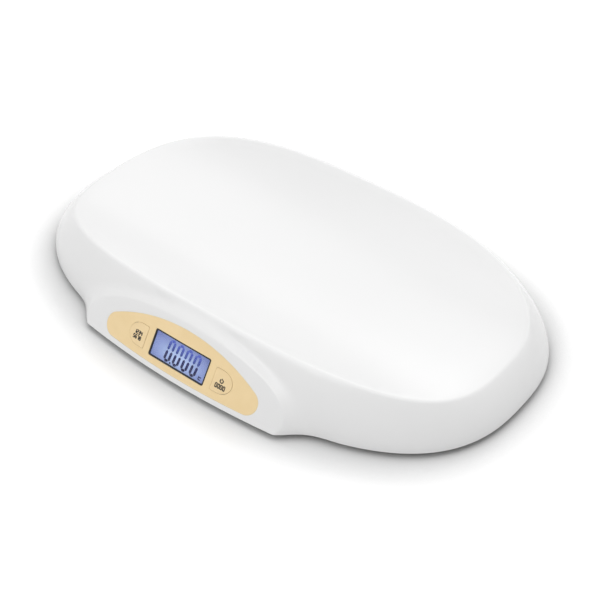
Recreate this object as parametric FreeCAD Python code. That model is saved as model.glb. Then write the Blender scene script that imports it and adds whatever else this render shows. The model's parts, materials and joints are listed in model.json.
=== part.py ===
import FreeCAD, Part
import math
import os

# Digital baby weighing scale: a moulded cradle-shaped housing that stands on four load-cell feet,
# with a tilted console (display and two keys) on its front side. Millimetres throughout.
#
# Two frames are used. The oval frame has its origin at floor level under the middle of the oval tray,
# +X along the tray, -Y towards the console, +Z up. save() moves every piece from it to the part's own
# frame, whose origin is the middle of the footprint. The console frame lies on the console's sloping
# face: x along the tray, y up the slope from the skirt's edge, z out of the face.

Vector = FreeCAD.Vector

# ---------------------------------------------------------------- driving dimensions
# oval body
BODY_LENGTH = 550.0
BODY_WIDTH = 326.0
BODY_SQUARENESS = 2.6
RIM_LENGTH = 502.4
RIM_WIDTH = 265.0
RIM_SQUARENESS = 2.9
RIM_SIDE_HEIGHT = 64.4
RIM_END_HEIGHT = 39.2
RIM_SWEEP_POWER = 2.8
WALL_FULLNESS = 1.8
TRAY_FLOOR_HEIGHT = 34.0
TRAY_LENGTH_POWER = 2.5
TRAY_WIDTH_POWER = 2.6
SKIRT_HEIGHT = 6.0
WALL = 3.0
RIM_RADIUS = 5.0

# console
CONSOLE_REACH = 16.8
CONSOLE_TILT = 57.0
CONSOLE_BOW_RADIUS = 1116.0
CONSOLE_RIDGE_RADIUS = 5.0
CREST_GAP = 6.0
SWELL_MARGIN = 3.2
SWELL_CORE_HALF_WIDTH = 111.0
SWELL_EDGE_HALF_WIDTH = 154.0
SWELL_CORE_HEIGHT = 44.0
SWELL_EDGE_HEIGHT = 54.0
FACE_MARGIN = 16.0

OVERLAY_THICKNESS = 0.4
OVERLAY_BOTTOM = 4.8
OVERLAY_TOP = 52.4
OVERLAY_TOP_RADIUS = 195.0
OVERLAY_BOTTOM_RADIUS = 1400.0
OVERLAY_CORNER_RADIUS = 12.5
OVERLAY_GAP = 0.15
CUT_ABOVE = 5.0
CUT_BELOW = 12.0

DISPLAY_WIDTH = 70.0
DISPLAY_HEIGHT = 27.8
DISPLAY_CENTRE_UP = 25.3
DISPLAY_CORNER_RADIUS = 2.0
BEZEL_BAND = 1.4
BEZEL_GAP = 0.15
BEZEL_SINK = 0.7
WINDOW_THICKNESS = 0.6
WINDOW_SINK = 0.5
GLASS_MARGIN = 2.6
GLASS_DEPTH = 2.1
GLASS_THICKNESS = 2.0
LIGHT_GUIDE_THICKNESS = 2.5
HOLDER_WALL = 1.0
HOLDER_GAP = 0.2
HOLDER_LEDGE = 4.0
ZEBRA_WIDTH = 2.0
ZEBRA_LENGTH = 60.0

KEY_WIDTH = 21.7
KEY_HEIGHT = 22.4
KEY_INNER_EDGE = 43.0
KEY_CENTRE_UP = 24.4
KEY_SHOULDER = 8.0
KEY_CORNER_RADIUS = 1.6
KEY_GAP = 0.3
KEY_PROUD = 0.2
KEY_TRAVEL = 0.6
KEY_FLANGE = 1.2
KEY_FLANGE_THICKNESS = 0.8
KEY_FLANGE_GAP = 0.3

# electronics
BOARD_DEPTH = 9.0
BOARD_THICKNESS = 1.6
BOARD_LENGTH = 152.0
BOARD_BOTTOM = 11.4
BOARD_TOP = 48.0
BOARD_POST_INSET = 4.0
BOARD_POST_RADIUS = 2.8
SWITCH_SIDE = 6.0
SWITCH_HEIGHT = 2.5
PLUNGER_RADIUS = 1.6
PLUNGER_GAP = 0.05
PLUNGER_DEPTH = 1.2
CHIP_RADIUS = 7.0
CHIP_HEIGHT = 1.8
CHIP_BEVEL = 1.5
CHIP_X = -20.0
SOCKET_LENGTH = 12.0
SOCKET_WIDTH = 4.5
SOCKET_HEIGHT = 5.0
SOCKET_PITCH = 15.0
CAPACITOR_RADIUS = 2.5
CAPACITOR_HEIGHT = 7.0
CAPACITOR_X = 20.0
CAPACITOR_PITCH = 8.0
PARTS_UP = 6.0

# base plate
BASE_RECESS = 0.5
BASE_THICKNESS = 2.2
BASE_GAP = 0.4
BASE_LIP_HEIGHT = 6.0
BASE_LIP_THICKNESS = 2.0
RIB_THICKNESS = 2.0
RIB_HEIGHT = 6.0
RIB_SPACING = 70.0
RIB_OVERHANG = 20.0
RIB_FROM_WELL = 10.0
ROOT = 0.5
CONSOLE_ROOM_SIDE = 6.0
CONSOLE_ROOM_DEPTH = 45.0
BOSS_RADIUS = 4.5
BOSS_INSET = 24.0
BOSS_ANGLES = (0.0, 62.0, 118.0, 180.0, 238.0, 302.0)
SCREW_RADIUS = 1.5
SCREW_HEAD_RADIUS = 3.2
SCREW_HEAD_HEIGHT = 1.4
SCREW_GAP = 0.2
SCREW_REACH = 9.0

# load-cell feet
FOOT_END_INSET = 90.0
FOOT_SIDE_INSET = 65.0
FOOT_RADIUS = 15.0
FOOT_GAP = 0.4
FOOT_DROP = 0.8
FOOT_CHAMFER = 0.6
FOOT_REST_GAP = 0.2
FOOT_FLANGE = 2.0
FOOT_FLANGE_THICKNESS = 1.5
SPIGOT_RADIUS = 4.0
SPIGOT_HEIGHT = 2.1
PAD_RADIUS = 13.0
PAD_HEIGHT = 2.4
PAD_SHOW = 1.2
PAD_CHAMFER = 0.5
CELL_SIDE = 38.0
CELL_THICKNESS = 2.0
CELL_FRAME = 6.0
CELL_TONGUE = 12.0
CELL_SLOT = 2.5
CELL_CORNER_RADIUS = 4.0
CELL_GAP = 0.3
WELL_WALL = 2.0
CAP_THICKNESS = 2.4
CAP_OPENING_RADIUS = 13.0
CAP_EAR_RADIUS = 4.0
CAP_EAR_OVERLAP = 1.0
CAP_SCREW_REACH = 5.0
CAP_SCREW_HEAD_RADIUS = 2.56

# batteries (AA)
BATTERY_RADIUS = 7.1
BATTERY_LENGTH = 49.2
BATTERY_NUB_RADIUS = 2.7
BATTERY_NUB_LENGTH = 1.2
BATTERY_COUNT = 4
BATTERY_GAP = 0.5
CONTACT_SPACE = 3.6
CONTACT_THICKNESS = 0.5
CONTACT_WIDTH = 8.0
CONTACT_HEIGHT = 10.0
DIMPLE_RADIUS = 3.0
DIMPLE_TIP_RADIUS = 2.0
LEAF_FOOT = 4.5
LEAF_TIP = 3.0
LEAF_LEAN = 1.2
LEAF_MARGIN = 1.0
BAY_WALL = 1.8
DOOR_THICKNESS = 1.8
DOOR_MARGIN = 3.5
DOOR_GAP = 0.3
DOOR_TRAVEL = 12.0
DOOR_LIP_REACH = 1.4
DOOR_LIP_THICKNESS = 0.9
DOOR_LIP_LENGTH = 10.0
DOOR_LIP_GAP = 0.2
DOOR_LIP_FROM_END = 2.0
GRIP_RIBS = 5
GRIP_FROM_END = 16.0
GRIP_LENGTH = 26.0
GRIP_WIDTH = 14.0
GRIP_RADIUS = 5.0
GRIP_DEPTH = 0.8
GRIP_RIB_PITCH = 2.4
GRIP_RIB_THICKNESS = 1.0
GRIP_RIB_LENGTH = 20.0

# ---------------------------------------------------------------- worked-out sizes
FACE_RUN = (RIM_SIDE_HEIGHT - SKIRT_HEIGHT) / math.tan(math.radians(CONSOLE_TILT))
CONSOLE_FRONT_Y = -max(BODY_WIDTH / 2.0 + CONSOLE_REACH, RIM_WIDTH / 2.0 + CREST_GAP + FACE_RUN)
SWELL_REACH = -CONSOLE_FRONT_Y - BODY_WIDTH / 2.0 + SWELL_MARGIN
FACE_HALF_WIDTH = SWELL_EDGE_HALF_WIDTH + FACE_MARGIN
FACE_LENGTH = 3.0 * RIM_SIDE_HEIGHT
FOOTPRINT_MIDDLE_Y = (BODY_WIDTH / 2.0 + CONSOLE_FRONT_Y) / 2.0
ABOVE_RIM = 1.2 * RIM_SIDE_HEIGHT

BASE_BOTTOM = SKIRT_HEIGHT + BASE_RECESS
BASE_TOP = BASE_BOTTOM + BASE_THICKNESS

DISPLAY_BOTTOM = DISPLAY_CENTRE_UP - DISPLAY_HEIGHT / 2.0
GLASS_BACK = GLASS_DEPTH + GLASS_THICKNESS
LIGHT_GUIDE_BACK = GLASS_BACK + LIGHT_GUIDE_THICKNESS
GLASS_WIDTH = DISPLAY_WIDTH + 2.0 * GLASS_MARGIN
GLASS_HEIGHT = DISPLAY_HEIGHT + 2.0 * GLASS_MARGIN
LIGHT_GUIDE_WIDTH = DISPLAY_WIDTH + 1.0
LIGHT_GUIDE_HEIGHT = DISPLAY_HEIGHT - 2.4
POCKET_WIDTH = GLASS_WIDTH + 2.0 * (HOLDER_WALL + HOLDER_GAP) + 2.0 * HOLDER_GAP
POCKET_HEIGHT = GLASS_HEIGHT + 2.0 * (HOLDER_WALL + HOLDER_GAP) + 2.0 * HOLDER_GAP
ZEBRA_UP = DISPLAY_CENTRE_UP + GLASS_HEIGHT / 2.0 - ZEBRA_WIDTH / 2.0 - 0.4

KEY_CENTRE_X = KEY_INNER_EDGE + KEY_WIDTH / 2.0
PLUNGER_TOP_DEPTH = BOARD_DEPTH - SWITCH_HEIGHT - KEY_TRAVEL - 0.3

FOOT_X = BODY_LENGTH / 2.0 - FOOT_END_INSET
FOOT_Y = BODY_WIDTH / 2.0 - FOOT_SIDE_INSET
FOOT_FLANGE_RADIUS = FOOT_RADIUS + FOOT_FLANGE
FLANGE_BOTTOM = BASE_TOP + FOOT_DROP + FOOT_REST_GAP
FLANGE_TOP = FLANGE_BOTTOM + FOOT_FLANGE_THICKNESS
CELL_BOTTOM = FLANGE_TOP + SPIGOT_HEIGHT
CELL_TOP = CELL_BOTTOM + CELL_THICKNESS
WELL_RADIUS = FOOT_FLANGE_RADIUS + FOOT_GAP
CAP_SIDE = CELL_SIDE + 2.0 * (CELL_GAP + WELL_WALL)
CAP_EAR_X = CAP_SIDE / 2.0 + CAP_EAR_RADIUS - CAP_EAR_OVERLAP
CORNERS = {
    "front_left": (-1, -1),
    "front_right": (1, -1),
    "back_left": (-1, 1),
    "back_right": (1, 1),
}

BATTERY_PITCH = 2.0 * BATTERY_RADIUS + BATTERY_GAP
BAY_LENGTH = BATTERY_LENGTH + BATTERY_NUB_LENGTH + 2.0 * CONTACT_SPACE
BAY_WIDTH = BATTERY_COUNT * BATTERY_PITCH + BATTERY_GAP
DOOR_WIDTH = BAY_LENGTH + 2.0 * DOOR_MARGIN
DOOR_LENGTH = BAY_WIDTH + 2.0 * DOOR_MARGIN
DOOR_TOP = BASE_BOTTOM + DOOR_THICKNESS
DOOR_SEAT = DOOR_TOP + DOOR_LIP_GAP
BAY_FLOOR_TOP = DOOR_SEAT + BASE_THICKNESS - DOOR_LIP_GAP
BATTERY_AXIS_HEIGHT = DOOR_TOP + DOOR_LIP_GAP + BATTERY_RADIUS + 0.1
BAY_CEILING = BATTERY_AXIS_HEIGHT + BATTERY_RADIUS + BATTERY_GAP


# ---------------------------------------------------------------- small helpers
def box(x_low, x_high, y_low, y_high, z_low, z_high):
    """A box between two opposite corners."""
    return Part.makeBox(x_high - x_low, y_high - y_low, z_high - z_low, Vector(x_low, y_low, z_low))


def post(x, y, z_low, z_high, radius):
    """An upright cylinder."""
    return Part.makeCylinder(radius, z_high - z_low, Vector(x, y, z_low))


def rounded_box(width, height, radius, x, y, z_low, z_high):
    """A plate with rounded corners, centred on (x, y)."""
    block = box(x - width / 2.0, x + width / 2.0, y - height / 2.0, y + height / 2.0, z_low, z_high)
    uprights = [edge for edge in block.Edges if edge.BoundBox.ZLength > (z_high - z_low) / 2.0]
    return block.makeFillet(radius, uprights)


def turned(points):
    """A solid of revolution about +Z from an (r, z) profile."""
    wire = Part.makePolygon([Vector(r, 0, z) for r, z in points + [points[0]]])
    return Part.Face(wire).revolve(Vector(0, 0, 0), Vector(0, 0, 1), 360)


def moved(shape, x, y, z=0.0):
    """A copy of the shape, shifted."""
    copy = shape.copy()
    copy.translate(Vector(x, y, z))
    return copy


def mirrored_x(shape):
    """The shape's mirror image across the plane x = 0."""
    return shape.mirror(Vector(0, 0, 0), Vector(1, 0, 0))


def save(node, shape):
    """Write one piece in the part's own frame, whose origin is the footprint's middle."""
    placed = shape.copy()
    placed.translate(Vector(0, -FOOTPRINT_MIDDLE_Y, 0))
    placed.exportStep("parts/" + node + ".step")


# ---------------------------------------------------------------- the housing's outer and inner skins
def superellipse(half_length, half_width, squareness, angle):
    """The point of |x/a|^n + |y/b|^n = 1 on the ray of this eccentric angle."""
    across = math.cos(angle)
    along = math.sin(angle)
    reach = (abs(across) ** squareness + abs(along) ** squareness) ** (-1.0 / squareness)
    return half_length * reach * across, half_width * reach * along


def console_swell(x, height):
    """How far the wall swells towards the console: full inside an inner arch, none outside an outer one."""
    inner = math.hypot(x / SWELL_CORE_HALF_WIDTH, height / SWELL_CORE_HEIGHT)
    outer = math.hypot(x / SWELL_EDGE_HALF_WIDTH, height / SWELL_EDGE_HEIGHT)
    if inner <= 1.0:
        return SWELL_REACH
    if outer >= 1.0:
        return 0.0
    step = (inner - 1.0) / ((inner - 1.0) + (1.0 - outer))
    return SWELL_REACH * (1.0 - step * step * (3.0 - 2.0 * step))


def wall_point(angle, height, inset):
    """A point of the side wall, which leans from the skirt's outline in to the rim's swept crest."""
    skirt_x, skirt_y = superellipse(BODY_LENGTH / 2.0 - inset, BODY_WIDTH / 2.0 - inset, BODY_SQUARENESS, angle)
    rim_x, rim_y = superellipse(RIM_LENGTH / 2.0 - inset, RIM_WIDTH / 2.0 - inset, RIM_SQUARENESS, angle)
    sweep = abs(rim_y / (RIM_WIDTH / 2.0 - inset)) ** RIM_SWEEP_POWER
    rim_height = RIM_END_HEIGHT + (RIM_SIDE_HEIGHT - RIM_END_HEIGHT) * sweep
    lean = (max(height - SKIRT_HEIGHT, 0.0) / (rim_height - SKIRT_HEIGHT)) ** WALL_FULLNESS
    x = skirt_x + (rim_x - skirt_x) * lean
    y = skirt_y + (rim_y - skirt_y) * lean
    if y < 0.0:
        y -= console_swell(x, max(height - SKIRT_HEIGHT, 0.0) + inset)
    return Vector(x, y, height)


def level_outline(height, inset, count=72, crowding=0.5):
    """One level ring of the wall; its points stand closer together at the console."""
    points = []
    for step in range(count):
        turn = 2.0 * math.pi * step / count
        angle = math.pi / 2.0 + turn + crowding * math.sin(turn)
        points.append(wall_point(angle, height, inset))
    curve = Part.BSplineCurve()
    knots = [step / count for step in range(count + 1)]
    curve.interpolate(Points=points, PeriodicFlag=True, Parameters=knots)
    return Part.Wire([curve.toShape()])


def tray_height(x, y):
    """The trough's height: low and flat in the middle, rising a little to the ends, steeply to the sides."""
    to_end = (RIM_END_HEIGHT - TRAY_FLOOR_HEIGHT) * (abs(x) / (RIM_LENGTH / 2.0)) ** TRAY_LENGTH_POWER
    to_side = (RIM_SIDE_HEIGHT - TRAY_FLOOR_HEIGHT) * (abs(y) / (RIM_WIDTH / 2.0)) ** TRAY_WIDTH_POWER
    return TRAY_FLOOR_HEIGHT + to_end + to_side


def above_tray(drop, columns=15, rows=21):
    """Everything above the trough, as a solid; drop lowers the trough."""
    reach_x = BODY_LENGTH * 0.58
    reach_y = BODY_WIDTH * 0.58
    grid = []
    for column in range(columns):
        x = reach_x * (2.0 * column / (columns - 1) - 1.0)
        line = []
        for row in range(rows):
            y = reach_y * (2.0 * row / (rows - 1) - 1.0)
            line.append(Vector(x, y, tray_height(x, y) - drop))
        grid.append(line)
    surface = Part.BSplineSurface()
    surface.interpolate(grid)
    return surface.toShape().extrude(Vector(0, 0, 3.0 * ABOVE_RIM))


def body(inset, first_level, levels, banded):
    """The cradle as a solid whose skin lies inset inside the outer one: levels lofted, trough and face cut."""
    heights = [first_level]
    if first_level < SKIRT_HEIGHT:
        heights.append(SKIRT_HEIGHT)
    for share in levels:
        heights.append(SKIRT_HEIGHT + (RIM_SIDE_HEIGHT - SKIRT_HEIGHT) * share)
    loft = Part.makeLoft([level_outline(height, inset) for height in heights], True, banded)
    solid = loft.cut(above_tray(inset)).cut(console_space(inset))
    return solid.Solids[0]


def smooth_body(inset):
    """The visible outer form, lofted smoothly through many levels."""
    levels = (0.17, 0.34, 0.51, 0.63, 0.71, 0.76, 0.81, 0.86, 0.91, 1.0, 1.12)
    return body(inset, SKIRT_HEIGHT, levels, False)


def banded_body(inset, first_level):
    """An inner form, in a few straight bands: it follows the outer skin closely and stays light."""
    levels = (0.3, 0.52, 0.66, 0.76, 0.86, 0.95, 1.12)
    return body(inset, first_level, levels, True)


def console_placed(shape):
    """Move a shape from the console frame to the oval frame."""
    placed = shape.copy()
    placed.rotate(Vector(0, 0, 0), Vector(1, 0, 0), CONSOLE_TILT)
    placed.translate(Vector(0, CONSOLE_FRONT_Y, SKIRT_HEIGHT))
    return placed


def console_layer(depth_low, depth_high):
    """A sheet that follows the console face's gentle bow, between two depths below it (console frame)."""
    outer_radius = CONSOLE_BOW_RADIUS - depth_low
    inner_radius = CONSOLE_BOW_RADIUS - depth_high

    def arc_points(radius):
        drop = math.sqrt(radius ** 2 - FACE_HALF_WIDTH ** 2) - CONSOLE_BOW_RADIUS
        return (
            Vector(-FACE_HALF_WIDTH, -FACE_LENGTH / 3.0, drop),
            Vector(0, -FACE_LENGTH / 3.0, radius - CONSOLE_BOW_RADIUS),
            Vector(FACE_HALF_WIDTH, -FACE_LENGTH / 3.0, drop),
        )

    outer = arc_points(outer_radius)
    inner = arc_points(inner_radius)
    outline = Part.Wire([
        Part.Arc(*outer).toShape(),
        Part.makeLine(outer[2], inner[2]),
        Part.Arc(inner[2], inner[1], inner[0]).toShape(),
        Part.makeLine(inner[0], outer[0]),
    ])
    return Part.Face(outline).extrude(Vector(0, FACE_LENGTH * 4.0 / 3.0, 0))


def console_space(depth):
    """Everything in front of the console's face, as a solid."""
    return console_placed(console_layer(-RIM_SIDE_HEIGHT, depth))


def rounded_body():
    """The outer form with its rim and its console ridge rounded."""
    solid = smooth_body(0.0)
    tray = max([face for face in solid.Faces if face.BoundBox.ZMin > SKIRT_HEIGHT + 1.0], key=lambda f: f.Area)
    solid = solid.makeFillet(RIM_RADIUS, tray.OuterWire.Edges)
    faces = [face for face in solid.Faces if isinstance(face.Surface, Part.Cylinder)]
    ridge = [edge for edge in faces[0].Edges if edge.BoundBox.ZMax > SKIRT_HEIGHT + 1.0]
    return solid.makeFillet(CONSOLE_RIDGE_RADIUS, ridge).Solids[0]


def ring_point(degrees, inset):
    """A place on the skirt's outline, moved inwards, for a screw boss."""
    angle = math.radians(degrees)
    return superellipse(BODY_LENGTH / 2.0 - inset, BODY_WIDTH / 2.0 - inset, BODY_SQUARENESS, angle)


def boss_places():
    """Where the base plate is screwed to the housing."""
    return [ring_point(degrees, BOSS_INSET) for degrees in BOSS_ANGLES]


def board_post_places():
    """Where the circuit board is screwed to the console's posts (console frame)."""
    x = BOARD_LENGTH / 2.0 - BOARD_POST_INSET
    low = BOARD_BOTTOM + BOARD_POST_INSET
    high = BOARD_TOP - BOARD_POST_INSET
    return [(-x, low), (x, low), (-x, high), (x, high)]


# ---------------------------------------------------------------- console outlines (console frame)
def overlay_prism(grow, depth_low, depth_high):
    """The half-moon overlay's outline as a prism; grow widens it all round."""
    top_centre = OVERLAY_TOP - OVERLAY_TOP_RADIUS
    bottom_centre = OVERLAY_BOTTOM + OVERLAY_BOTTOM_RADIUS
    height = depth_high - depth_low
    upper = Part.makeCylinder(OVERLAY_TOP_RADIUS + grow, height, Vector(0, top_centre, -depth_high))
    lower = Part.makeCylinder(OVERLAY_BOTTOM_RADIUS + grow, height, Vector(0, bottom_centre, -depth_high))
    half_moon = upper.common(lower)
    uprights = [edge for edge in half_moon.Edges if edge.BoundBox.ZLength > height / 2.0]
    tips = [edge for edge in uprights if abs(edge.BoundBox.Center.x) > OVERLAY_TOP_RADIUS / 4.0]
    return half_moon.makeFillet(OVERLAY_CORNER_RADIUS + grow, tips)


def key_prism(grow, depth_low, depth_high):
    """The right-hand key's D outline as a prism: a straight side to the display, a half-ellipse outwards."""
    left = KEY_INNER_EDGE - grow
    shoulder = KEY_INNER_EDGE + KEY_SHOULDER
    reach = KEY_WIDTH - KEY_SHOULDER + grow
    half = KEY_HEIGHT / 2.0 + grow
    low = KEY_CENTRE_UP - half
    high = KEY_CENTRE_UP + half
    if reach > half:
        ellipse = Part.Ellipse(Vector(shoulder, KEY_CENTRE_UP, 0), reach, half)
        bulge = ellipse.toShape(-math.pi / 2.0, math.pi / 2.0)
    else:
        ellipse = Part.Ellipse(
            Vector(shoulder, high, 0), Vector(shoulder - reach, KEY_CENTRE_UP, 0), Vector(shoulder, KEY_CENTRE_UP, 0)
        )
        bulge = ellipse.toShape(math.pi, 2.0 * math.pi)
    straight = Part.makePolygon(
        [Vector(shoulder, high, 0), Vector(left, high, 0), Vector(left, low, 0), Vector(shoulder, low, 0)]
    )
    outline = Part.Wire([bulge] + straight.Edges)
    prism = Part.Face(outline).extrude(Vector(0, 0, depth_high - depth_low))
    prism.translate(Vector(0, 0, -depth_high))
    corners = [
        edge for edge in prism.Edges
        if edge.BoundBox.ZLength > (depth_high - depth_low) / 2.0 and edge.BoundBox.XMax < left + 0.01
    ]
    return prism.makeFillet(KEY_CORNER_RADIUS + grow, corners)


def display_prism(shrink, depth_low, depth_high):
    """The display opening's outline as a prism; shrink narrows it all round."""
    return rounded_box(
        DISPLAY_WIDTH - 2.0 * shrink,
        DISPLAY_HEIGHT - 2.0 * shrink,
        DISPLAY_CORNER_RADIUS - shrink / 2.0,
        0.0, DISPLAY_CENTRE_UP, -depth_high, -depth_low,
    )


# ---------------------------------------------------------------- housing
def make_top_housing():
    """The moulded shell: tray, wall and console skin of one thickness, with screw bosses and board posts."""
    outer = rounded_body()
    cavity = banded_body(WALL, SKIRT_HEIGHT)
    for x, y in boss_places():
        boss = post(x, y, BASE_TOP, ABOVE_RIM, BOSS_RADIUS)
        pilot = post(x, y, BASE_TOP - 1.0, BASE_TOP + SCREW_REACH, SCREW_RADIUS - SCREW_GAP)
        cavity = cavity.cut(boss.cut(pilot))
    for x, up in board_post_places():
        pillar = post(x, up, -BOARD_DEPTH, 0.0, BOARD_POST_RADIUS)
        pilot = post(x, up, -BOARD_DEPTH - 1.0, -BOARD_DEPTH + 3.0, SCREW_RADIUS / 2.0)
        cavity = cavity.cut(console_placed(pillar.cut(pilot)))
    shell = hollowed(outer, cavity)
    recess = overlay_prism(OVERLAY_GAP, -CUT_ABOVE, 2.0 * CUT_BELOW)
    recess = recess.common(console_layer(-CUT_ABOVE, OVERLAY_THICKNESS))
    shell = shell.cut(console_placed(recess))
    shell = shell.cut(console_placed(display_prism(0.0, -CUT_ABOVE, CUT_BELOW)))
    pocket = box(
        -POCKET_WIDTH / 2.0, POCKET_WIDTH / 2.0,
        DISPLAY_CENTRE_UP - POCKET_HEIGHT / 2.0, DISPLAY_CENTRE_UP + POCKET_HEIGHT / 2.0,
        -GLASS_DEPTH - 6.0, -GLASS_DEPTH,
    )
    shell = shell.cut(console_placed(pocket))
    opening = key_prism(KEY_GAP, -CUT_ABOVE, CUT_BELOW)
    shell = shell.cut(console_placed(opening))
    shell = shell.cut(console_placed(mirrored_x(opening)))
    return shell


def hollowed(outer, cavity):
    """The outer solid less a cavity that is open at the skirt's level only, joined face by face."""
    def is_bottom(face):
        return face.BoundBox.ZLength < 0.001 and abs(face.BoundBox.ZMin - SKIRT_HEIGHT) < 0.001

    faces = [face for face in outer.Faces if not is_bottom(face)]
    faces += [face.reversed() for face in cavity.Faces if not is_bottom(face)]
    outer_edge = [face for face in outer.Faces if is_bottom(face)][0].OuterWire
    inner_edge = [face for face in cavity.Faces if is_bottom(face)][0].OuterWire
    faces.append(Part.makeFace([outer_edge, inner_edge], "Part::FaceMakerBullseye").Faces[0])
    shell = Part.Shell(faces)
    shell.sewShape()
    return Part.Solid(shell)


def make_base_plate():
    """The floor plate: rim lip, ribs, four foot wells and the battery bay with its sliding-door recess."""
    inside = banded_body(WALL + BASE_GAP, SKIRT_HEIGHT - 1.0)
    slab = box(-BODY_LENGTH, BODY_LENGTH, -BODY_WIDTH, BODY_WIDTH, BASE_BOTTOM, BASE_TOP + BASE_LIP_HEIGHT)
    plate = inside.common(slab)
    within = banded_body(WALL + BASE_GAP + BASE_LIP_THICKNESS, SKIRT_HEIGHT - 1.0)
    hollow = within.common(box(-BODY_LENGTH, BODY_LENGTH, -BODY_WIDTH, BODY_WIDTH, BASE_TOP, ABOVE_RIM))
    plate = plate.cut(hollow)
    console_room = box(
        -BOARD_LENGTH / 2.0 - CONSOLE_ROOM_SIDE, BOARD_LENGTH / 2.0 + CONSOLE_ROOM_SIDE,
        CONSOLE_FRONT_Y - SWELL_MARGIN, CONSOLE_FRONT_Y + CONSOLE_ROOM_DEPTH,
        BASE_TOP, ABOVE_RIM,
    )
    plate = plate.cut(console_room)
    adds = []
    for rib in rib_boxes():
        adds.append(rib.common(within))
    for side_x, side_y in CORNERS.values():
        adds.append(foot_well(side_x * FOOT_X, side_y * FOOT_Y))
    adds.append(bay_block())
    plate = plate.multiFuse(adds)
    cuts = [bay_space(), door_recess()]
    for side_x, side_y in CORNERS.values():
        cuts.append(foot_space(side_x * FOOT_X, side_y * FOOT_Y))
    for x, y in boss_places():
        cuts.append(post(x, y, BASE_BOTTOM - 1.0, BASE_TOP + 1.0, SCREW_RADIUS + SCREW_GAP))
        cuts.append(post(x, y, BASE_BOTTOM - 1.0, BASE_BOTTOM + SCREW_HEAD_HEIGHT, SCREW_HEAD_RADIUS + SCREW_GAP))
    for cut in cuts:
        plate = plate.cut(cut)
    return plate.removeSplitter()


def rib_boxes():
    """Stiffening ribs along and across the plate, kept clear of wells, bay, bosses and console."""
    half_long = FOOT_X + CAP_SIDE / 2.0 + RIB_OVERHANG
    half_wide = FOOT_Y - CAP_SIDE / 2.0 - RIB_FROM_WELL
    ribs = []
    for y in (-half_wide, half_wide):
        ribs.append(box(-half_long, half_long, y - RIB_THICKNESS / 2.0, y + RIB_THICKNESS / 2.0,
                        BASE_TOP - ROOT, BASE_TOP + RIB_HEIGHT))
    for x in (-2.0 * RIB_SPACING, -RIB_SPACING, RIB_SPACING, 2.0 * RIB_SPACING):
        ribs.append(box(x - RIB_THICKNESS / 2.0, x + RIB_THICKNESS / 2.0, -half_wide, half_wide,
                        BASE_TOP - ROOT, BASE_TOP + RIB_HEIGHT))
    return ribs


def foot_well(x, y):
    """The square well block that carries one load cell on its ledge, with two screw ears."""
    side = CAP_SIDE / 2.0
    well = box(x - side, x + side, y - side, y + side, BASE_TOP - ROOT, CELL_TOP - 0.1)
    for ear in (-CAP_EAR_X, CAP_EAR_X):
        well = well.fuse(post(x + ear, y, BASE_TOP - ROOT, CELL_TOP - 0.1, CAP_EAR_RADIUS))
    return well


def foot_space(x, y):
    """What is cut from a well: the foot's opening, the flange's room, the cell's seat and the screw pilots."""
    seat = CELL_SIDE / 2.0 + CELL_GAP
    space = post(x, y, BASE_BOTTOM - 1.0, BASE_TOP + 1.0, FOOT_RADIUS + FOOT_GAP)
    space = space.fuse(post(x, y, BASE_TOP, CELL_TOP, WELL_RADIUS))
    space = space.fuse(box(x - seat, x + seat, y - seat, y + seat, CELL_BOTTOM, CELL_TOP + 1.0))
    for ear in (-CAP_EAR_X, CAP_EAR_X):
        space = space.fuse(post(x + ear, y, BASE_TOP + 1.0, CELL_TOP + 1.0, SCREW_RADIUS - SCREW_GAP))
    return space


# ---------------------------------------------------------------- battery bay and door
def bay_block():
    """The solid block round the bay: walls, roof and the thicker floor that holds the door's recess."""
    half_x = BAY_LENGTH / 2.0
    half_y = BAY_WIDTH / 2.0
    walls = box(-half_x - BAY_WALL, half_x + BAY_WALL, -half_y - BAY_WALL, half_y + BAY_WALL,
                BASE_TOP - ROOT, BAY_CEILING + BAY_WALL)
    pan_x = DOOR_WIDTH / 2.0 + DOOR_LIP_REACH + DOOR_GAP + BAY_WALL
    pan_low = -DOOR_LENGTH / 2.0 - DOOR_GAP - BAY_WALL
    pan_high = DOOR_LENGTH / 2.0 + DOOR_TRAVEL + DOOR_GAP + BAY_WALL
    pan = box(-pan_x, pan_x, pan_low, pan_high, BASE_TOP - ROOT, BAY_FLOOR_TOP)
    return walls.fuse(pan)


def bay_space():
    """The room for the batteries and their contacts, open downwards."""
    half_x = BAY_LENGTH / 2.0
    half_y = BAY_WIDTH / 2.0
    return box(-half_x, half_x, -half_y, half_y, BASE_BOTTOM - 1.0, BAY_CEILING)


def lip_spans():
    """Where the door's side lips lie along Y, when it is shut."""
    first = -DOOR_LENGTH / 2.0 + DOOR_LIP_FROM_END
    second = first + DOOR_LENGTH / 2.0
    return [(first, first + DOOR_LIP_LENGTH), (second, second + DOOR_LIP_LENGTH)]


def door_recess():
    """The recess that the door slides in: a floor channel, side grooves and notches where the lips drop out."""
    half_x = DOOR_WIDTH / 2.0 + DOOR_GAP
    low = -DOOR_LENGTH / 2.0 - DOOR_GAP
    high = DOOR_LENGTH / 2.0 + DOOR_TRAVEL + DOOR_GAP
    groove_x = half_x + DOOR_LIP_REACH
    groove_low = DOOR_TOP - DOOR_LIP_THICKNESS - DOOR_LIP_GAP
    recess = box(-half_x, half_x, low, high, BASE_BOTTOM - 1.0, DOOR_SEAT)
    recess = recess.fuse(box(-groove_x, groove_x, low, high, groove_low, DOOR_SEAT))
    for start, end in lip_spans():
        recess = recess.fuse(box(-groove_x, groove_x, start + DOOR_TRAVEL - DOOR_GAP, end + DOOR_TRAVEL + DOOR_GAP,
                                 BASE_BOTTOM - 1.0, DOOR_SEAT))
    return recess


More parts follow.
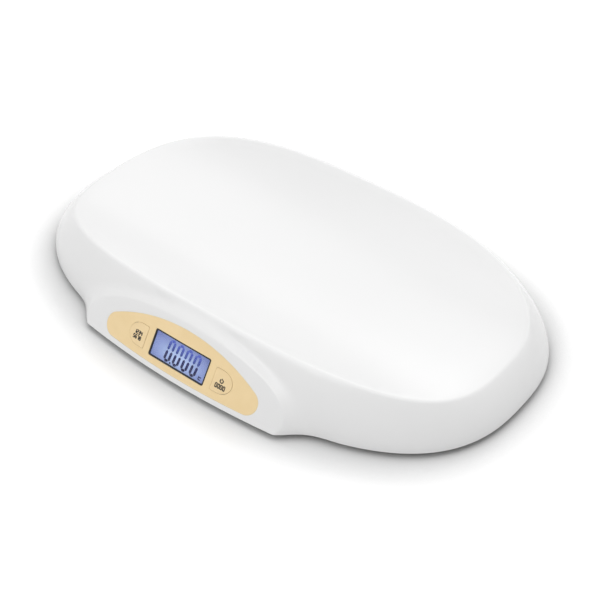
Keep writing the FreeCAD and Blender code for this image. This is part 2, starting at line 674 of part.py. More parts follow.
def make_battery_door():
    """The sliding door: a flat plate with four side lips and a finger grip of raised ribs in a dish."""
    half_x = DOOR_WIDTH / 2.0
    half_y = DOOR_LENGTH / 2.0
    door = box(-half_x, half_x, -half_y, half_y, BASE_BOTTOM, DOOR_TOP)
    for start, end in lip_spans():
        door = door.fuse(box(-half_x - DOOR_LIP_REACH + DOOR_LIP_GAP, half_x + DOOR_LIP_REACH - DOOR_LIP_GAP,
                             start, end, DOOR_TOP - DOOR_LIP_THICKNESS, DOOR_TOP))
    dish_y = -half_y + GRIP_FROM_END
    dish = rounded_box(GRIP_LENGTH, GRIP_WIDTH, GRIP_RADIUS, 0.0, dish_y, BASE_BOTTOM - 1.0, BASE_BOTTOM + GRIP_DEPTH)
    door = door.cut(dish)
    for rib in range(GRIP_RIBS):
        y = dish_y + GRIP_RIB_PITCH * (rib - (GRIP_RIBS - 1) / 2.0)
        door = door.fuse(box(-GRIP_RIB_LENGTH / 2.0, GRIP_RIB_LENGTH / 2.0, y - GRIP_RIB_THICKNESS / 2.0,
                             y + GRIP_RIB_THICKNESS / 2.0, BASE_BOTTOM, BASE_BOTTOM + GRIP_DEPTH + 0.1))
    return door.removeSplitter()


def battery_places():
    """Each cell's Y and which way its nub points."""
    places = []
    for index in range(BATTERY_COUNT):
        y = (index - (BATTERY_COUNT - 1) / 2.0) * BATTERY_PITCH
        places.append((y, 1 if index % 2 == 0 else -1))
    return places


def make_battery(y, way):
    """One AA cell lying along X, turned from its profile."""
    half = BATTERY_LENGTH / 2.0
    cell = turned([
        (0.0, -half), (BATTERY_RADIUS, -half), (BATTERY_RADIUS, half), (BATTERY_NUB_RADIUS, half),
        (BATTERY_NUB_RADIUS, half + BATTERY_NUB_LENGTH), (0.0, half + BATTERY_NUB_LENGTH),
    ])
    cell.rotate(Vector(0, 0, 0), Vector(0, 1, 0), 90 * way)
    return moved(cell, -way * BATTERY_NUB_LENGTH / 2.0, y, BATTERY_AXIS_HEIGHT)


def make_contacts(kind):
    """The bay's contact plates; the spring ones carry a bent leaf, the plain ones a raised dimple."""
    pieces = []
    end_x = BAY_LENGTH / 2.0
    for y, way in battery_places():
        side = way if kind == "plain" else -way
        cell_end = (BATTERY_LENGTH + BATTERY_NUB_LENGTH) / 2.0
        face = end_x - CONTACT_THICKNESS
        plate = box(face, end_x, y - CONTACT_WIDTH / 2.0, y + CONTACT_WIDTH / 2.0,
                    BATTERY_AXIS_HEIGHT - CONTACT_HEIGHT / 2.0, BATTERY_AXIS_HEIGHT + CONTACT_HEIGHT / 2.0)
        if kind == "plain":
            middle = Vector(face, y, BATTERY_AXIS_HEIGHT)
            dimple = Part.makeCone(DIMPLE_RADIUS, DIMPLE_TIP_RADIUS, face - cell_end, middle, Vector(-1, 0, 0))
            piece = plate.fuse(dimple)
        else:
            piece = plate.fuse(leaf(face, cell_end, y))
        if side < 0:
            piece = mirrored_x(piece)
        pieces.append(piece)
    return Part.makeCompound(pieces)


def leaf(face, cell_end, y):
    """A bent leaf spring standing off the plate and touching the cell's flat end."""
    low = BATTERY_AXIS_HEIGHT - LEAF_FOOT
    middle = BATTERY_AXIS_HEIGHT
    high = BATTERY_AXIS_HEIGHT + LEAF_TIP
    thick = CONTACT_THICKNESS
    profile = Part.makePolygon([
        Vector(face, 0, low), Vector(cell_end, 0, middle), Vector(cell_end + LEAF_LEAN, 0, high),
        Vector(cell_end + LEAF_LEAN + thick, 0, high), Vector(cell_end + thick, 0, middle),
        Vector(face, 0, low + 2.0 * thick), Vector(face, 0, low),
    ])
    half = CONTACT_WIDTH / 2.0 - LEAF_MARGIN
    return moved(Part.Face(profile).extrude(Vector(0, 2.0 * half, 0)), 0.0, y - half)


# ---------------------------------------------------------------- console pieces
def make_overlay():
    """The cream half-moon film, flush in its recess, with openings for the display and both keys."""
    film = overlay_prism(0.0, -CUT_ABOVE, 2.0 * CUT_BELOW).common(console_layer(0.0, OVERLAY_THICKNESS))
    film = film.cut(display_prism(0.0, -CUT_ABOVE, CUT_BELOW))
    opening = key_prism(KEY_GAP, -CUT_ABOVE, CUT_BELOW)
    film = film.cut(opening).cut(mirrored_x(opening))
    return console_placed(film)


def make_bezel():
    """The dark frame that lines the display opening and stands on the glass."""
    ring = display_prism(BEZEL_GAP, BEZEL_SINK, GLASS_DEPTH)
    ring = ring.cut(display_prism(BEZEL_GAP + BEZEL_BAND, 0.0, GLASS_DEPTH + 1.0))
    return console_placed(ring)


def make_window():
    """The clear pane inside the bezel."""
    top = BEZEL_SINK + WINDOW_SINK
    return console_placed(display_prism(BEZEL_GAP + BEZEL_BAND, top, top + WINDOW_THICKNESS))


def make_glass():
    """The liquid-crystal cell behind the opening."""
    return console_placed(box(-GLASS_WIDTH / 2.0, GLASS_WIDTH / 2.0,
                              DISPLAY_CENTRE_UP - GLASS_HEIGHT / 2.0, DISPLAY_CENTRE_UP + GLASS_HEIGHT / 2.0,
                              -GLASS_BACK, -GLASS_DEPTH))


def light_guide_box(grow, depth_low, depth_high):
    """The backlight's outline, which sits towards the glass's lower edge, clear of the contact strip."""
    low = DISPLAY_BOTTOM
    high = low + LIGHT_GUIDE_HEIGHT
    half = LIGHT_GUIDE_WIDTH / 2.0
    return box(-half - grow, half + grow, low - grow, high + grow, -depth_high, -depth_low)


def make_light_guide():
    """The backlight slab."""
    return console_placed(light_guide_box(0.0, GLASS_BACK, LIGHT_GUIDE_BACK))


def zebra_box(grow, depth_low, depth_high):
    """The elastomer strip's outline."""
    half = ZEBRA_LENGTH / 2.0 + grow
    wide = ZEBRA_WIDTH / 2.0 + grow
    return box(-half, half, ZEBRA_UP - wide, ZEBRA_UP + wide, -depth_high, -depth_low)


def make_zebra_strip():
    """The strip that joins the glass's upper edge to the board."""
    return console_placed(zebra_box(0.0, GLASS_BACK, BOARD_DEPTH))


def make_display_holder():
    """The frame on the board that holds glass, backlight and strip."""
    width = GLASS_WIDTH + 2.0 * (HOLDER_WALL + HOLDER_GAP)
    height = GLASS_HEIGHT + 2.0 * (HOLDER_WALL + HOLDER_GAP)
    middle = DISPLAY_CENTRE_UP
    holder = box(-width / 2.0, width / 2.0, middle - height / 2.0, middle + height / 2.0,
                 -BOARD_DEPTH, -GLASS_DEPTH - HOLDER_GAP)
    seat_x = GLASS_WIDTH / 2.0 + HOLDER_GAP
    seat_y = GLASS_HEIGHT / 2.0 + HOLDER_GAP
    holder = holder.cut(box(-seat_x, seat_x, middle - seat_y, middle + seat_y, -GLASS_BACK, 0.0))
    holder = holder.cut(light_guide_box(HOLDER_GAP, 0.0, LIGHT_GUIDE_BACK))
    holder = holder.cut(light_guide_box(-HOLDER_LEDGE, 0.0, BOARD_DEPTH + 1.0))
    holder = holder.cut(zebra_box(HOLDER_GAP, 0.0, BOARD_DEPTH + 1.0))
    holder = console_placed(holder)
    return holder.cut(base_clearance_room())


def base_clearance_room():
    """The room that the base plate's floor needs under the console's inner pieces."""
    return box(-BODY_LENGTH, BODY_LENGTH, -BODY_WIDTH, BODY_WIDTH, 0.0, BASE_TOP + BASE_GAP)


def make_board():
    """The circuit board, parallel to the console face, with four screw holes."""
    half = BOARD_LENGTH / 2.0
    board = box(-half, half, BOARD_BOTTOM, BOARD_TOP, -BOARD_DEPTH - BOARD_THICKNESS, -BOARD_DEPTH)
    for x, up in board_post_places():
        board = board.cut(post(x, up, -BOARD_DEPTH - BOARD_THICKNESS - 1.0, -BOARD_DEPTH + 1.0,
                               SCREW_RADIUS / 2.0 + SCREW_GAP))
    return console_placed(board)


def make_chip():
    """The controller under its drop of resin, on the board's back."""
    back = -BOARD_DEPTH - BOARD_THICKNESS
    dome = turned([(0.0, 0.0), (CHIP_RADIUS, 0.0), (CHIP_RADIUS - CHIP_BEVEL, -CHIP_HEIGHT), (0.0, -CHIP_HEIGHT)])
    return console_placed(moved(dome, CHIP_X, DISPLAY_CENTRE_UP + PARTS_UP, back))


def socket_places():
    """The five lead sockets on the board's back (console frame)."""
    return [(SOCKET_PITCH * (index - 2), BOARD_TOP - SOCKET_WIDTH) for index in range(5)]


def make_sockets():
    """Sockets for the four load-cell leads and the battery lead."""
    back = -BOARD_DEPTH - BOARD_THICKNESS
    pieces = []
    for x, up in socket_places():
        shell = box(x - SOCKET_LENGTH / 2.0, x + SOCKET_LENGTH / 2.0, up - SOCKET_WIDTH / 2.0,
                    up + SOCKET_WIDTH / 2.0, back - SOCKET_HEIGHT, back)
        pieces.append(console_placed(shell))
    return Part.makeCompound(pieces)


def make_capacitors():
    """Two upright can capacitors on the board's back."""
    back = -BOARD_DEPTH - BOARD_THICKNESS
    pieces = []
    for x in (CAPACITOR_X, CAPACITOR_X + CAPACITOR_PITCH):
        can = post(x, DISPLAY_CENTRE_UP + PARTS_UP, back - CAPACITOR_HEIGHT, back, CAPACITOR_RADIUS)
        pieces.append(console_placed(can))
    return Part.makeCompound(pieces)


def make_key():
    """The right-hand key cap: a D that follows the face's bow, a stop flange behind, a stem to the switch."""
    back = WALL + KEY_FLANGE_GAP
    cap = key_prism(0.0, -CUT_ABOVE, 2.0 * CUT_BELOW).common(console_layer(-KEY_PROUD, back + KEY_FLANGE_THICKNESS))
    flange = key_prism(KEY_FLANGE, -CUT_ABOVE, 2.0 * CUT_BELOW)
    flange = flange.common(console_layer(back, back + KEY_FLANGE_THICKNESS))
    stem = post(KEY_CENTRE_X, KEY_CENTRE_UP, -PLUNGER_TOP_DEPTH, -back, PLUNGER_RADIUS + 0.4)
    return console_placed(cap.fuse(flange).fuse(stem).removeSplitter())


def make_plunger():
    """The switch's plunger, which the key's stem pushes."""
    return console_placed(post(KEY_CENTRE_X, KEY_CENTRE_UP, -PLUNGER_TOP_DEPTH - PLUNGER_DEPTH,
                               -PLUNGER_TOP_DEPTH, PLUNGER_RADIUS))


def make_switch():
    """The switch body on the board, with the bore its plunger runs in."""
    half = SWITCH_SIDE / 2.0
    top = -BOARD_DEPTH + SWITCH_HEIGHT
    body_box = box(KEY_CENTRE_X - half, KEY_CENTRE_X + half, KEY_CENTRE_UP - half, KEY_CENTRE_UP + half,
                   -BOARD_DEPTH, top)
    bore = post(KEY_CENTRE_X, KEY_CENTRE_UP, -PLUNGER_TOP_DEPTH - PLUNGER_DEPTH - KEY_TRAVEL - 0.2, top + 1.0,
                PLUNGER_RADIUS + PLUNGER_GAP)
    return console_placed(body_box.cut(bore))


# ---------------------------------------------------------------- screws
def screw(length, radius, head_radius, head_height):
    """A plain cheese-head screw along -Z, its head's underside at z = 0."""
    return turned([
        (0.0, head_height), (head_radius, head_height), (head_radius, 0.0), (radius, 0.0), (radius, -length),
        (0.0, -length),
    ])


def make_housing_screws():
    """The screws that hold the base plate to the housing's bosses, heads down in their counterbores."""
    pieces = []
    for x, y in boss_places():
        piece = screw(SCREW_REACH - 1.0, SCREW_RADIUS - SCREW_GAP, SCREW_HEAD_RADIUS, SCREW_HEAD_HEIGHT)
        piece.rotate(Vector(0, 0, 0), Vector(1, 0, 0), 180)
        pieces.append(moved(piece, x, y, BASE_BOTTOM + SCREW_HEAD_HEIGHT))
    return Part.makeCompound(pieces)


def make_board_screws():
    """The screws that hold the board to the console's posts, driven from behind."""
    pieces = []
    for x, up in board_post_places():
        piece = screw(BOARD_THICKNESS + 2.0, SCREW_RADIUS / 2.0, SCREW_HEAD_RADIUS * 0.6, SCREW_HEAD_HEIGHT * 0.7)
        piece.rotate(Vector(0, 0, 0), Vector(1, 0, 0), 180)
        pieces.append(console_placed(moved(piece, x, up, -BOARD_DEPTH - BOARD_THICKNESS)))
    return Part.makeCompound(pieces)


def make_cell_screws():
    """The screws that hold each load cell's cap to its well."""
    pieces = []
    for side_x, side_y in CORNERS.values():
        for ear in (-CAP_EAR_X, CAP_EAR_X):
            length = CAP_THICKNESS + CAP_SCREW_REACH
            piece = screw(length, SCREW_RADIUS - SCREW_GAP, CAP_SCREW_HEAD_RADIUS, SCREW_HEAD_HEIGHT)
            pieces.append(moved(piece, side_x * FOOT_X + ear, side_y * FOOT_Y, CELL_TOP + CAP_THICKNESS))
    return Part.makeCompound(pieces)


# ---------------------------------------------------------------- load-cell feet
def make_foot(x, y):
    """The foot: a turned cup with a flange that the base plate traps and a spigot under the load cell."""
    bottom = PAD_SHOW
    profile = turned([
        (0.0, PAD_HEIGHT), (PAD_RADIUS, PAD_HEIGHT), (PAD_RADIUS, bottom), (FOOT_RADIUS - FOOT_CHAMFER, bottom),
        (FOOT_RADIUS, bottom + FOOT_CHAMFER), (FOOT_RADIUS, FLANGE_BOTTOM), (FOOT_FLANGE_RADIUS, FLANGE_BOTTOM),
        (FOOT_FLANGE_RADIUS, FLANGE_TOP), (SPIGOT_RADIUS, FLANGE_TOP), (SPIGOT_RADIUS, CELL_BOTTOM),
        (0.0, CELL_BOTTOM),
    ])
    return moved(profile, x, y)


def make_foot_pad(x, y):
    """The rubber pad in the foot's recess, standing proud of it on the floor."""
    edge = PAD_CHAMFER
    return moved(turned([
        (0.0, 0.0), (PAD_RADIUS - edge, 0.0), (PAD_RADIUS, edge), (PAD_RADIUS, PAD_HEIGHT), (0.0, PAD_HEIGHT),
    ]), x, y)


def make_load_cell(x, y, side_y):
    """The load cell: a steel plate whose slot leaves a tongue over the foot's spigot."""
    inner = CELL_SIDE / 2.0 - CELL_FRAME
    plate = rounded_box(CELL_SIDE, CELL_SIDE, CELL_CORNER_RADIUS, x, y, CELL_BOTTOM, CELL_TOP)
    slot = box(x - inner, x + inner, y - inner, y + inner, CELL_BOTTOM - 1.0, CELL_TOP + 1.0)
    tip = y - side_y * (inner - CELL_SLOT)
    root = y + side_y * (inner + 1.0)
    tongue = box(x - CELL_TONGUE / 2.0, x + CELL_TONGUE / 2.0, min(tip, root), max(tip, root),
                 CELL_BOTTOM - 1.0, CELL_TOP + 1.0)
    return plate.cut(slot.cut(tongue))


def make_cell_cap(x, y):
    """The cap that presses the load cell's frame on its ledge, with an eye over the tongue and two ears."""
    low = CELL_TOP
    high = CELL_TOP + CAP_THICKNESS
    cap = rounded_box(CAP_SIDE, CAP_SIDE, CELL_CORNER_RADIUS, x, y, low, high)
    for ear in (-CAP_EAR_X, CAP_EAR_X):
        cap = cap.fuse(post(x + ear, y, low, high, CAP_EAR_RADIUS))
    cap = cap.cut(post(x, y, low - 1.0, high + 1.0, CAP_OPENING_RADIUS))
    for ear in (-CAP_EAR_X, CAP_EAR_X):
        cap = cap.cut(post(x + ear, y, low - 1.0, high + 1.0, SCREW_RADIUS + SCREW_GAP))
    return cap.removeSplitter()


# ---------------------------------------------------------------- the assembly
def main():
    """Build and write every piece."""
    os.makedirs("parts", exist_ok=True)
    save("top_housing", make_top_housing())
    save("base_plate", make_base_plate())
    save("console_overlay", make_overlay())
    save("display_bezel", make_bezel())
    save("display_window", make_window())
    save("display_glass", make_glass())
    save("display_backlight", make_light_guide())
    save("display_holder", make_display_holder())
    save("zebra_strip", make_zebra_strip())
    save("main_board", make_board())
    save("controller_chip", make_chip())
    save("lead_sockets", make_sockets())
    save("board_capacitors", make_capacitors())
    key = make_key()
    plunger = make_plunger()
    switch = make_switch()
    save("zero_key", key)
    save("hold_key", mirrored_x(key))
    save("zero_plunger", plunger)
    save("hold_plunger", mirrored_x(plunger))
    save("zero_switch", switch)
    save("hold_switch", mirrored_x(switch))
    save("housing_screws", make_housing_screws())
    save("board_screws", make_board_screws())
    save("cell_screws", make_cell_screws())
    for corner, (side_x, side_y) in CORNERS.items():
        x = side_x * FOOT_X
        y = side_y * FOOT_Y
        save("foot_" + corner, make_foot(x, y))
        save("foot_pad_" + corner, make_foot_pad(x, y))
        save("load_cell_" + corner, make_load_cell(x, y, side_y))
        save("cell_cap_" + corner, make_cell_cap(x, y))
    for index, (y, way) in enumerate(battery_places()):
        save("battery_" + str(index + 1), make_battery(y, way))
    save("contact_plates", make_contacts("plain"))
    save("contact_springs", make_contacts("spring"))
    save("battery_door", make_battery_door())


main()
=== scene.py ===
# %% [markdown]
# # A baby weighing scale, dressed for a picture
# The construction model gives every solid piece its true place and size. This notebook adds what such a
# model cannot hold: the finish of each plastic, metal and film, the lit figures of the display, the small
# marks on the keys, a floor, soft light and a camera. Each step says what the real thing is, and why it is
# made this way.

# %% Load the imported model
import json
import math

import bmesh
import bpy
import numpy as np
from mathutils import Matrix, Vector

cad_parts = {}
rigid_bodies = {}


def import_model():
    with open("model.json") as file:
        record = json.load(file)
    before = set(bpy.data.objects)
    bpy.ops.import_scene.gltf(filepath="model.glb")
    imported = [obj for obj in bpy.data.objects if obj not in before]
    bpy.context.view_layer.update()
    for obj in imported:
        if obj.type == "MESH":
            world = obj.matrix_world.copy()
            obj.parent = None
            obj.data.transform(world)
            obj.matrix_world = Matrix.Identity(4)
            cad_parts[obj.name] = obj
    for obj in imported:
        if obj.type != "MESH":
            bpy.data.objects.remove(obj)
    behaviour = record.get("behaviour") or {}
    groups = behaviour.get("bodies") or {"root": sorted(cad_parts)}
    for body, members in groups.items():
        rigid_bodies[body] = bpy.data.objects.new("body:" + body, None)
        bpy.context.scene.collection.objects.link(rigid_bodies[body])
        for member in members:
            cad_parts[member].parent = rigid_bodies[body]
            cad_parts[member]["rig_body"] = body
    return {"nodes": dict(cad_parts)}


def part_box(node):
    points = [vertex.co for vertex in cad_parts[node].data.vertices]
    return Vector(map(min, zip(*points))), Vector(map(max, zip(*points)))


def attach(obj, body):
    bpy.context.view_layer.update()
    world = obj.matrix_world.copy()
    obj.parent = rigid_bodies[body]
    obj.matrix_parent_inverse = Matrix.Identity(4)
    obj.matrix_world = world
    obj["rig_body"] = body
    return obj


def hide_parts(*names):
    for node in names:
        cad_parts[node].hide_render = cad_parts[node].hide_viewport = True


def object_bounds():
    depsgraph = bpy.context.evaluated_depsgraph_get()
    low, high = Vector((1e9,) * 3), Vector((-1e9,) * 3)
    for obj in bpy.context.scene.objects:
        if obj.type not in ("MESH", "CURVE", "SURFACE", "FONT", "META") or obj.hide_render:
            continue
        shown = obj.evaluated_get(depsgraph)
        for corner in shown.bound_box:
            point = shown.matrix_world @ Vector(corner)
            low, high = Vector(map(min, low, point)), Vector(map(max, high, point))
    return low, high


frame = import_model()
nodes = frame["nodes"]
cad_low, cad_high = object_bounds()
print("solid pieces:", len(nodes), " overall size in mm:", [round(1000 * s, 1) for s in cad_high - cad_low])

# %% [markdown]
# ## The camera
# A catalogue picture of a low, wide product is taken from well above and to one side, with a long lens, so
# that the far end is hardly smaller than the near one. The camera stands on a sphere round the middle of the
# tray: one angle round it, one angle up, one distance. A small shift slides the frame without turning the
# view.

# %% Place the camera
MM = 0.001
TRAY_MIDDLE = Vector((0.0, 8.4 * MM, 0.0))
VIEW_ROUND = math.radians(39.08)
VIEW_UP = math.radians(40.62)
VIEW_DISTANCE = 1.306
SENSOR_WIDTH = 36.0
LENS_LENGTH = 76.0
SHIFT_ACROSS, SHIFT_UP = 0.0163, -0.0176
NEAREST_SEEN = 0.05

eye = Vector((
    math.sin(VIEW_ROUND) * math.cos(VIEW_UP),
    -math.cos(VIEW_ROUND) * math.cos(VIEW_UP),
    math.sin(VIEW_UP),
))
camera_data = bpy.data.cameras.new("camera")
camera_data.sensor_width = SENSOR_WIDTH
camera_data.lens = LENS_LENGTH
camera_data.shift_x, camera_data.shift_y = SHIFT_ACROSS, SHIFT_UP
camera_data.clip_start = NEAREST_SEEN
camera = bpy.data.objects.new("camera", camera_data)
camera.location = TRAY_MIDDLE + eye * VIEW_DISTANCE
camera.rotation_mode = "QUATERNION"
camera.rotation_quaternion = (-eye).to_track_quat("-Z", "Y")
bpy.context.scene.collection.objects.link(camera)
bpy.context.scene.camera = camera
print("camera at, in mm:", [round(1000 * c) for c in camera.location])

# %% [markdown]
# ## Colours and nodes
# A procedural material is a small network: a pattern, something that turns the pattern into colour, gloss or
# relief, and a shader. A few short helpers keep the rest of this notebook readable. These first ones turn a
# screen colour into light, start a material, add a node, join two sockets, and calculate with numbers.

# %% The smallest helpers
WHITE = (1.0, 1.0, 1.0, 1.0)


def linear(red, green, blue):
    """Turns a screen colour of 0 to 255 into the linear values that a shader reads, by the sRGB curve."""
    screen = np.array([red, green, blue]) / 255.0
    light = np.where(screen <= 0.04045, screen / 12.92, ((screen + 0.055) / 1.055) ** 2.4)
    return (*light.tolist(), 1.0)


def grey(level):
    """A grey of this linear brightness."""
    return (level, level, level, 1.0)


def start_material(name):
    """A new material and its main shader."""
    material = bpy.data.materials.new(name)
    material.use_nodes = True
    return material, material.node_tree.nodes["Principled BSDF"]


def add(material, kind, **settings):
    """Adds a node, sets its properties, and returns it."""
    node = material.node_tree.nodes.new(kind)
    for key, value in settings.items():
        setattr(node, key, value)
    return node


def join(material, output, target):
    """Joins an output socket to an input socket."""
    material.node_tree.links.new(output, target)


def maths(material, operation, *terms):
    """A sum, product or the like; each term is a number or an output socket."""
    node = add(material, "ShaderNodeMath", operation=operation)
    for socket, term in zip(node.inputs, terms):
        if isinstance(term, float):
            socket.default_value = term
        else:
            join(material, term, socket)
    return node.outputs[0]


print("paper white in linear light:", [round(c, 3) for c in linear(226, 226, 226)[:3]])

# %% [markdown]
# ## Patterns
# Patterns read object coordinates, in metres. Every piece stands at the origin with its place in its mesh, so
# these are also places on the scale, and a noise of 1000 per metre has grains about a millimetre across.
# Noise keeps mostly to the middle of its range, so it is stretched from there onto the values wanted.

# %% Helpers for patterns
NOISE_LOW, NOISE_HIGH = 0.3, 0.7


def object_place(material):
    """The place of each point on the piece."""
    return add(material, "ShaderNodeTexCoord").outputs["Object"]


def along(material, axis):
    """How far each point lies along one axis."""
    split = add(material, "ShaderNodeSeparateXYZ")
    join(material, object_place(material), split.inputs["Vector"])
    return split.outputs[axis]


def length_of(material, vector):
    """The length of a vector."""
    node = add(material, "ShaderNodeVectorMath", operation="LENGTH")
    join(material, vector, node.inputs[0])
    return node.outputs["Value"]


def grain(material, scale, detail=2.0, roughness=0.5, stretch=(1.0, 1.0, 1.0)):
    """Noise with this many grains per metre; a stretch below 1 lengthens them along that axis."""
    mapping = add(material, "ShaderNodeMapping")
    mapping.inputs["Scale"].default_value = stretch
    noise = add(material, "ShaderNodeTexNoise")
    noise.inputs["Scale"].default_value = scale
    noise.inputs["Detail"].default_value = detail
    noise.inputs["Roughness"].default_value = roughness
    join(material, object_place(material), mapping.inputs["Vector"])
    join(material, mapping.outputs["Vector"], noise.inputs["Vector"])
    return noise.outputs["Fac"]


def remap(material, factor, from_low, from_high, to_low=0.0, to_high=1.0):
    """Carries one range of values onto another in a straight line, and stops at its ends."""
    node = add(material, "ShaderNodeMapRange")
    node.inputs["From Min"].default_value = from_low
    node.inputs["From Max"].default_value = from_high
    node.inputs["To Min"].default_value = to_low
    node.inputs["To Max"].default_value = to_high
    join(material, factor, node.inputs["Value"])
    return node.outputs["Result"]


def ramp(material, factor, stops):
    """A colour ramp with (position, colour) stops."""
    node = add(material, "ShaderNodeValToRGB")
    band = node.color_ramp
    band.elements[0].position, band.elements[0].color = stops[0]
    band.elements[1].position, band.elements[1].color = stops[-1]
    for position, colour in stops[1:-1]:
        band.elements.new(position).color = colour
    join(material, factor, node.inputs["Fac"])
    return node.outputs["Color"]


print("pattern helpers ready")

# %% [markdown]
# ## Finishes
# Most pieces need the same three things from noise: a colour that wanders between two near shades, a gloss
# that is not quite even, and a fine relief. Two recipes put them together, one for moulded plastic and one
# for metal that was drawn or ground in one direction.

# %% Helpers for finishes
GLOSS_TO_CLOUD = 2.3
COAT_ROUGHNESS = 0.08
DRAWN_LINES = 900.0
DRAWN_DEPTH = 0.00002


def tint(material, shader, pattern, dark, light):
    """Lets the colour wander between two shades."""
    shades = [(NOISE_LOW, dark), (NOISE_HIGH, light)]
    join(material, ramp(material, pattern, shades), shader.inputs["Base Color"])


def gloss(material, shader, pattern, low, high):
    """Lets the roughness wander between two values."""
    uneven = remap(material, pattern, NOISE_LOW, NOISE_HIGH, low, high)
    join(material, uneven, shader.inputs["Roughness"])


def relief(material, shader, height, distance):
    """Turns a pattern into bumps of this height in metres."""
    bump = add(material, "ShaderNodeBump")
    bump.inputs["Distance"].default_value = distance
    join(material, height, bump.inputs["Height"])
    join(material, bump.outputs["Normal"], shader.inputs["Normal"])


def plastic(name, dark, light, cloud, rough, fine, depth, coat=0.0):
    """A moulded plastic; cloud and fine are patches and grains per metre, depth is the relief in metres."""
    material, shader = start_material(name)
    tint(material, shader, grain(material, cloud, detail=3.0), linear(*dark), linear(*light))
    gloss(material, shader, grain(material, cloud * GLOSS_TO_CLOUD), *rough)
    relief(material, shader, grain(material, fine, detail=4.0, roughness=0.6), depth)
    shader.inputs["Coat Weight"].default_value = coat
    shader.inputs["Coat Roughness"].default_value = COAT_ROUGHNESS
    return material


def metal(name, dark, light, rough, stretch):
    """A worked metal: fine drawn lines along one axis, in colour, gloss and relief."""
    material, shader = start_material(name)
    lines = grain(material, DRAWN_LINES, detail=4.0, stretch=stretch)
    tint(material, shader, lines, dark, light)
    gloss(material, shader, lines, *rough)
    shader.inputs["Metallic"].default_value = 1.0
    relief(material, shader, lines, DRAWN_DEPTH)
    return material


print("finish helpers ready")

# %% [markdown]
# ## Dressing the pieces
# The construction model arrives as loose flat triangles. Inner pieces, and the flat glass and pane of the
# display, take their finish as they are. Every other piece that shows is stood in for by a copy, welded at
# its shared corners and shaded smooth wherever two facets meet at a small angle, while real edges, such as an
# opening's rim, stay crisp.

# %% Give pieces their finish
SHARP_TURN = math.radians(32.0)
WELD_REACH = 0.000002


def dress(material, *names):
    """Gives CAD nodes a material, as they are."""
    for name in names:
        mesh = nodes[name].data
        mesh.materials.clear()
        mesh.materials.append(material)


def dress_smooth(material, *names):
    """Stands a welded copy in for each CAD node; its edges are sharp only where facets turn by more."""
    for name in names:
        source = nodes[name]
        mesh = source.data.copy()
        mesh.name = name + "_skin"
        welded = bmesh.new()
        welded.from_mesh(mesh)
        bmesh.ops.remove_doubles(welded, verts=welded.verts, dist=WELD_REACH)
        for face in welded.faces:
            face.smooth = True
        for edge in welded.edges:
            edge.smooth = len(edge.link_faces) == 2 and edge.calc_face_angle(0.0) < SHARP_TURN
        welded.to_mesh(mesh)
        welded.free()
        mesh.materials.clear()
        mesh.materials.append(material)
        skin = bpy.data.objects.new(name + "_skin", mesh)
        bpy.context.scene.collection.objects.link(skin)
        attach(skin, source["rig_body"])
        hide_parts(name)


print("pieces to dress:", len(nodes))

# %% [markdown]
# ## The white moulding
# The tray, wall and console are one injection moulding in glossy white plastic. Its gloss comes from a
# polished mould, so the relief is only a very fine grain. The colour is almost even: a slight cloudiness
# keeps it from looking like paint.

# %% Glossy white shell
SHELL_SHADES = (linear(236, 236, 236), linear(238, 238, 238))
SHELL_CLOUDS, SHELL_GLOSS_CLOUDS, SHELL_GRAINS = 6.0, 12.0, 2500.0
SHELL_ROUGHNESS = (0.2, 0.24)
SHELL_SPECULAR = 0.45
SHELL_DEPTH = 0.000003

shell_white, shell_shader = start_material("shell_white")
tint(shell_white, shell_shader, grain(shell_white, SHELL_CLOUDS, detail=1.0), *SHELL_SHADES)
gloss(shell_white, shell_shader, grain(shell_white, SHELL_GLOSS_CLOUDS, detail=1.0), *SHELL_ROUGHNESS)
relief(shell_white, shell_shader, grain(shell_white, SHELL_GRAINS), SHELL_DEPTH)
shell_shader.inputs["Specular IOR Level"].default_value = SHELL_SPECULAR
dress_smooth(shell_white, "top_housing")
print("finish:", shell_white.name)

# %% [markdown]
# ## The underside and the feet
# The floor plate, its battery door, the feet and the caps inside are plain moulded plastic with a fine spark
# texture, duller than the top. The pads are dark rubber, rougher still, with a powdery, uneven bloom. Each
# row of the table is one call of the plastic recipe.

# %% Plain plastics and rubber
UNDERSIDE_FINISHES = [
    ("base_white", (222, 222, 220), (230, 230, 228), 25.0, (0.42, 0.55), 2200.0, 0.00003),
    ("foot_white", (216, 216, 214), (226, 226, 224), 40.0, (0.45, 0.6), 2000.0, 0.00003),
    ("pad_rubber", (44, 44, 46), (62, 62, 63), 70.0, (0.75, 0.92), 3000.0, 0.00006),
    ("holder_white", (205, 205, 200), (216, 216, 210), 60.0, (0.4, 0.5), 2600.0, 0.00002),
]
base_white, foot_white, pad_rubber, holder_white = [plastic(*row) for row in UNDERSIDE_FINISHES]
corners = ("front_left", "front_right", "back_left", "back_right")
dress_smooth(base_white, "base_plate", "battery_door")
dress_smooth(foot_white, *["foot_" + corner for corner in corners])
dress_smooth(pad_rubber, *["foot_pad_" + corner for corner in corners])
dress(holder_white, "display_holder", *["cell_cap_" + corner for corner in corners])
print("underside finishes ready:", len(UNDERSIDE_FINISHES))

# %% [markdown]
# ## The console's film and keys
# The half-moon on the console is a printed polyester film in a warm cream, with a satin, very finely grained
# face. The key caps are moulded in the same cream. Film and caps are a shade apart in gloss, which is enough
# to tell them from each other.

# %% Cream film and key caps
CONSOLE_FINISHES = [
    ("overlay_cream", (243, 216, 165), (247, 221, 172), 60.0, (0.36, 0.44), 5200.0, 0.000012),
    ("key_cream", (242, 215, 166), (246, 220, 172), 90.0, (0.32, 0.4), 4200.0, 0.000012),
]
overlay_cream, key_cream = [plastic(*row) for row in CONSOLE_FINISHES]
dress_smooth(overlay_cream, "console_overlay")
dress_smooth(key_cream, "zero_key", "hold_key")
print("console finishes ready:", len(CONSOLE_FINISHES))

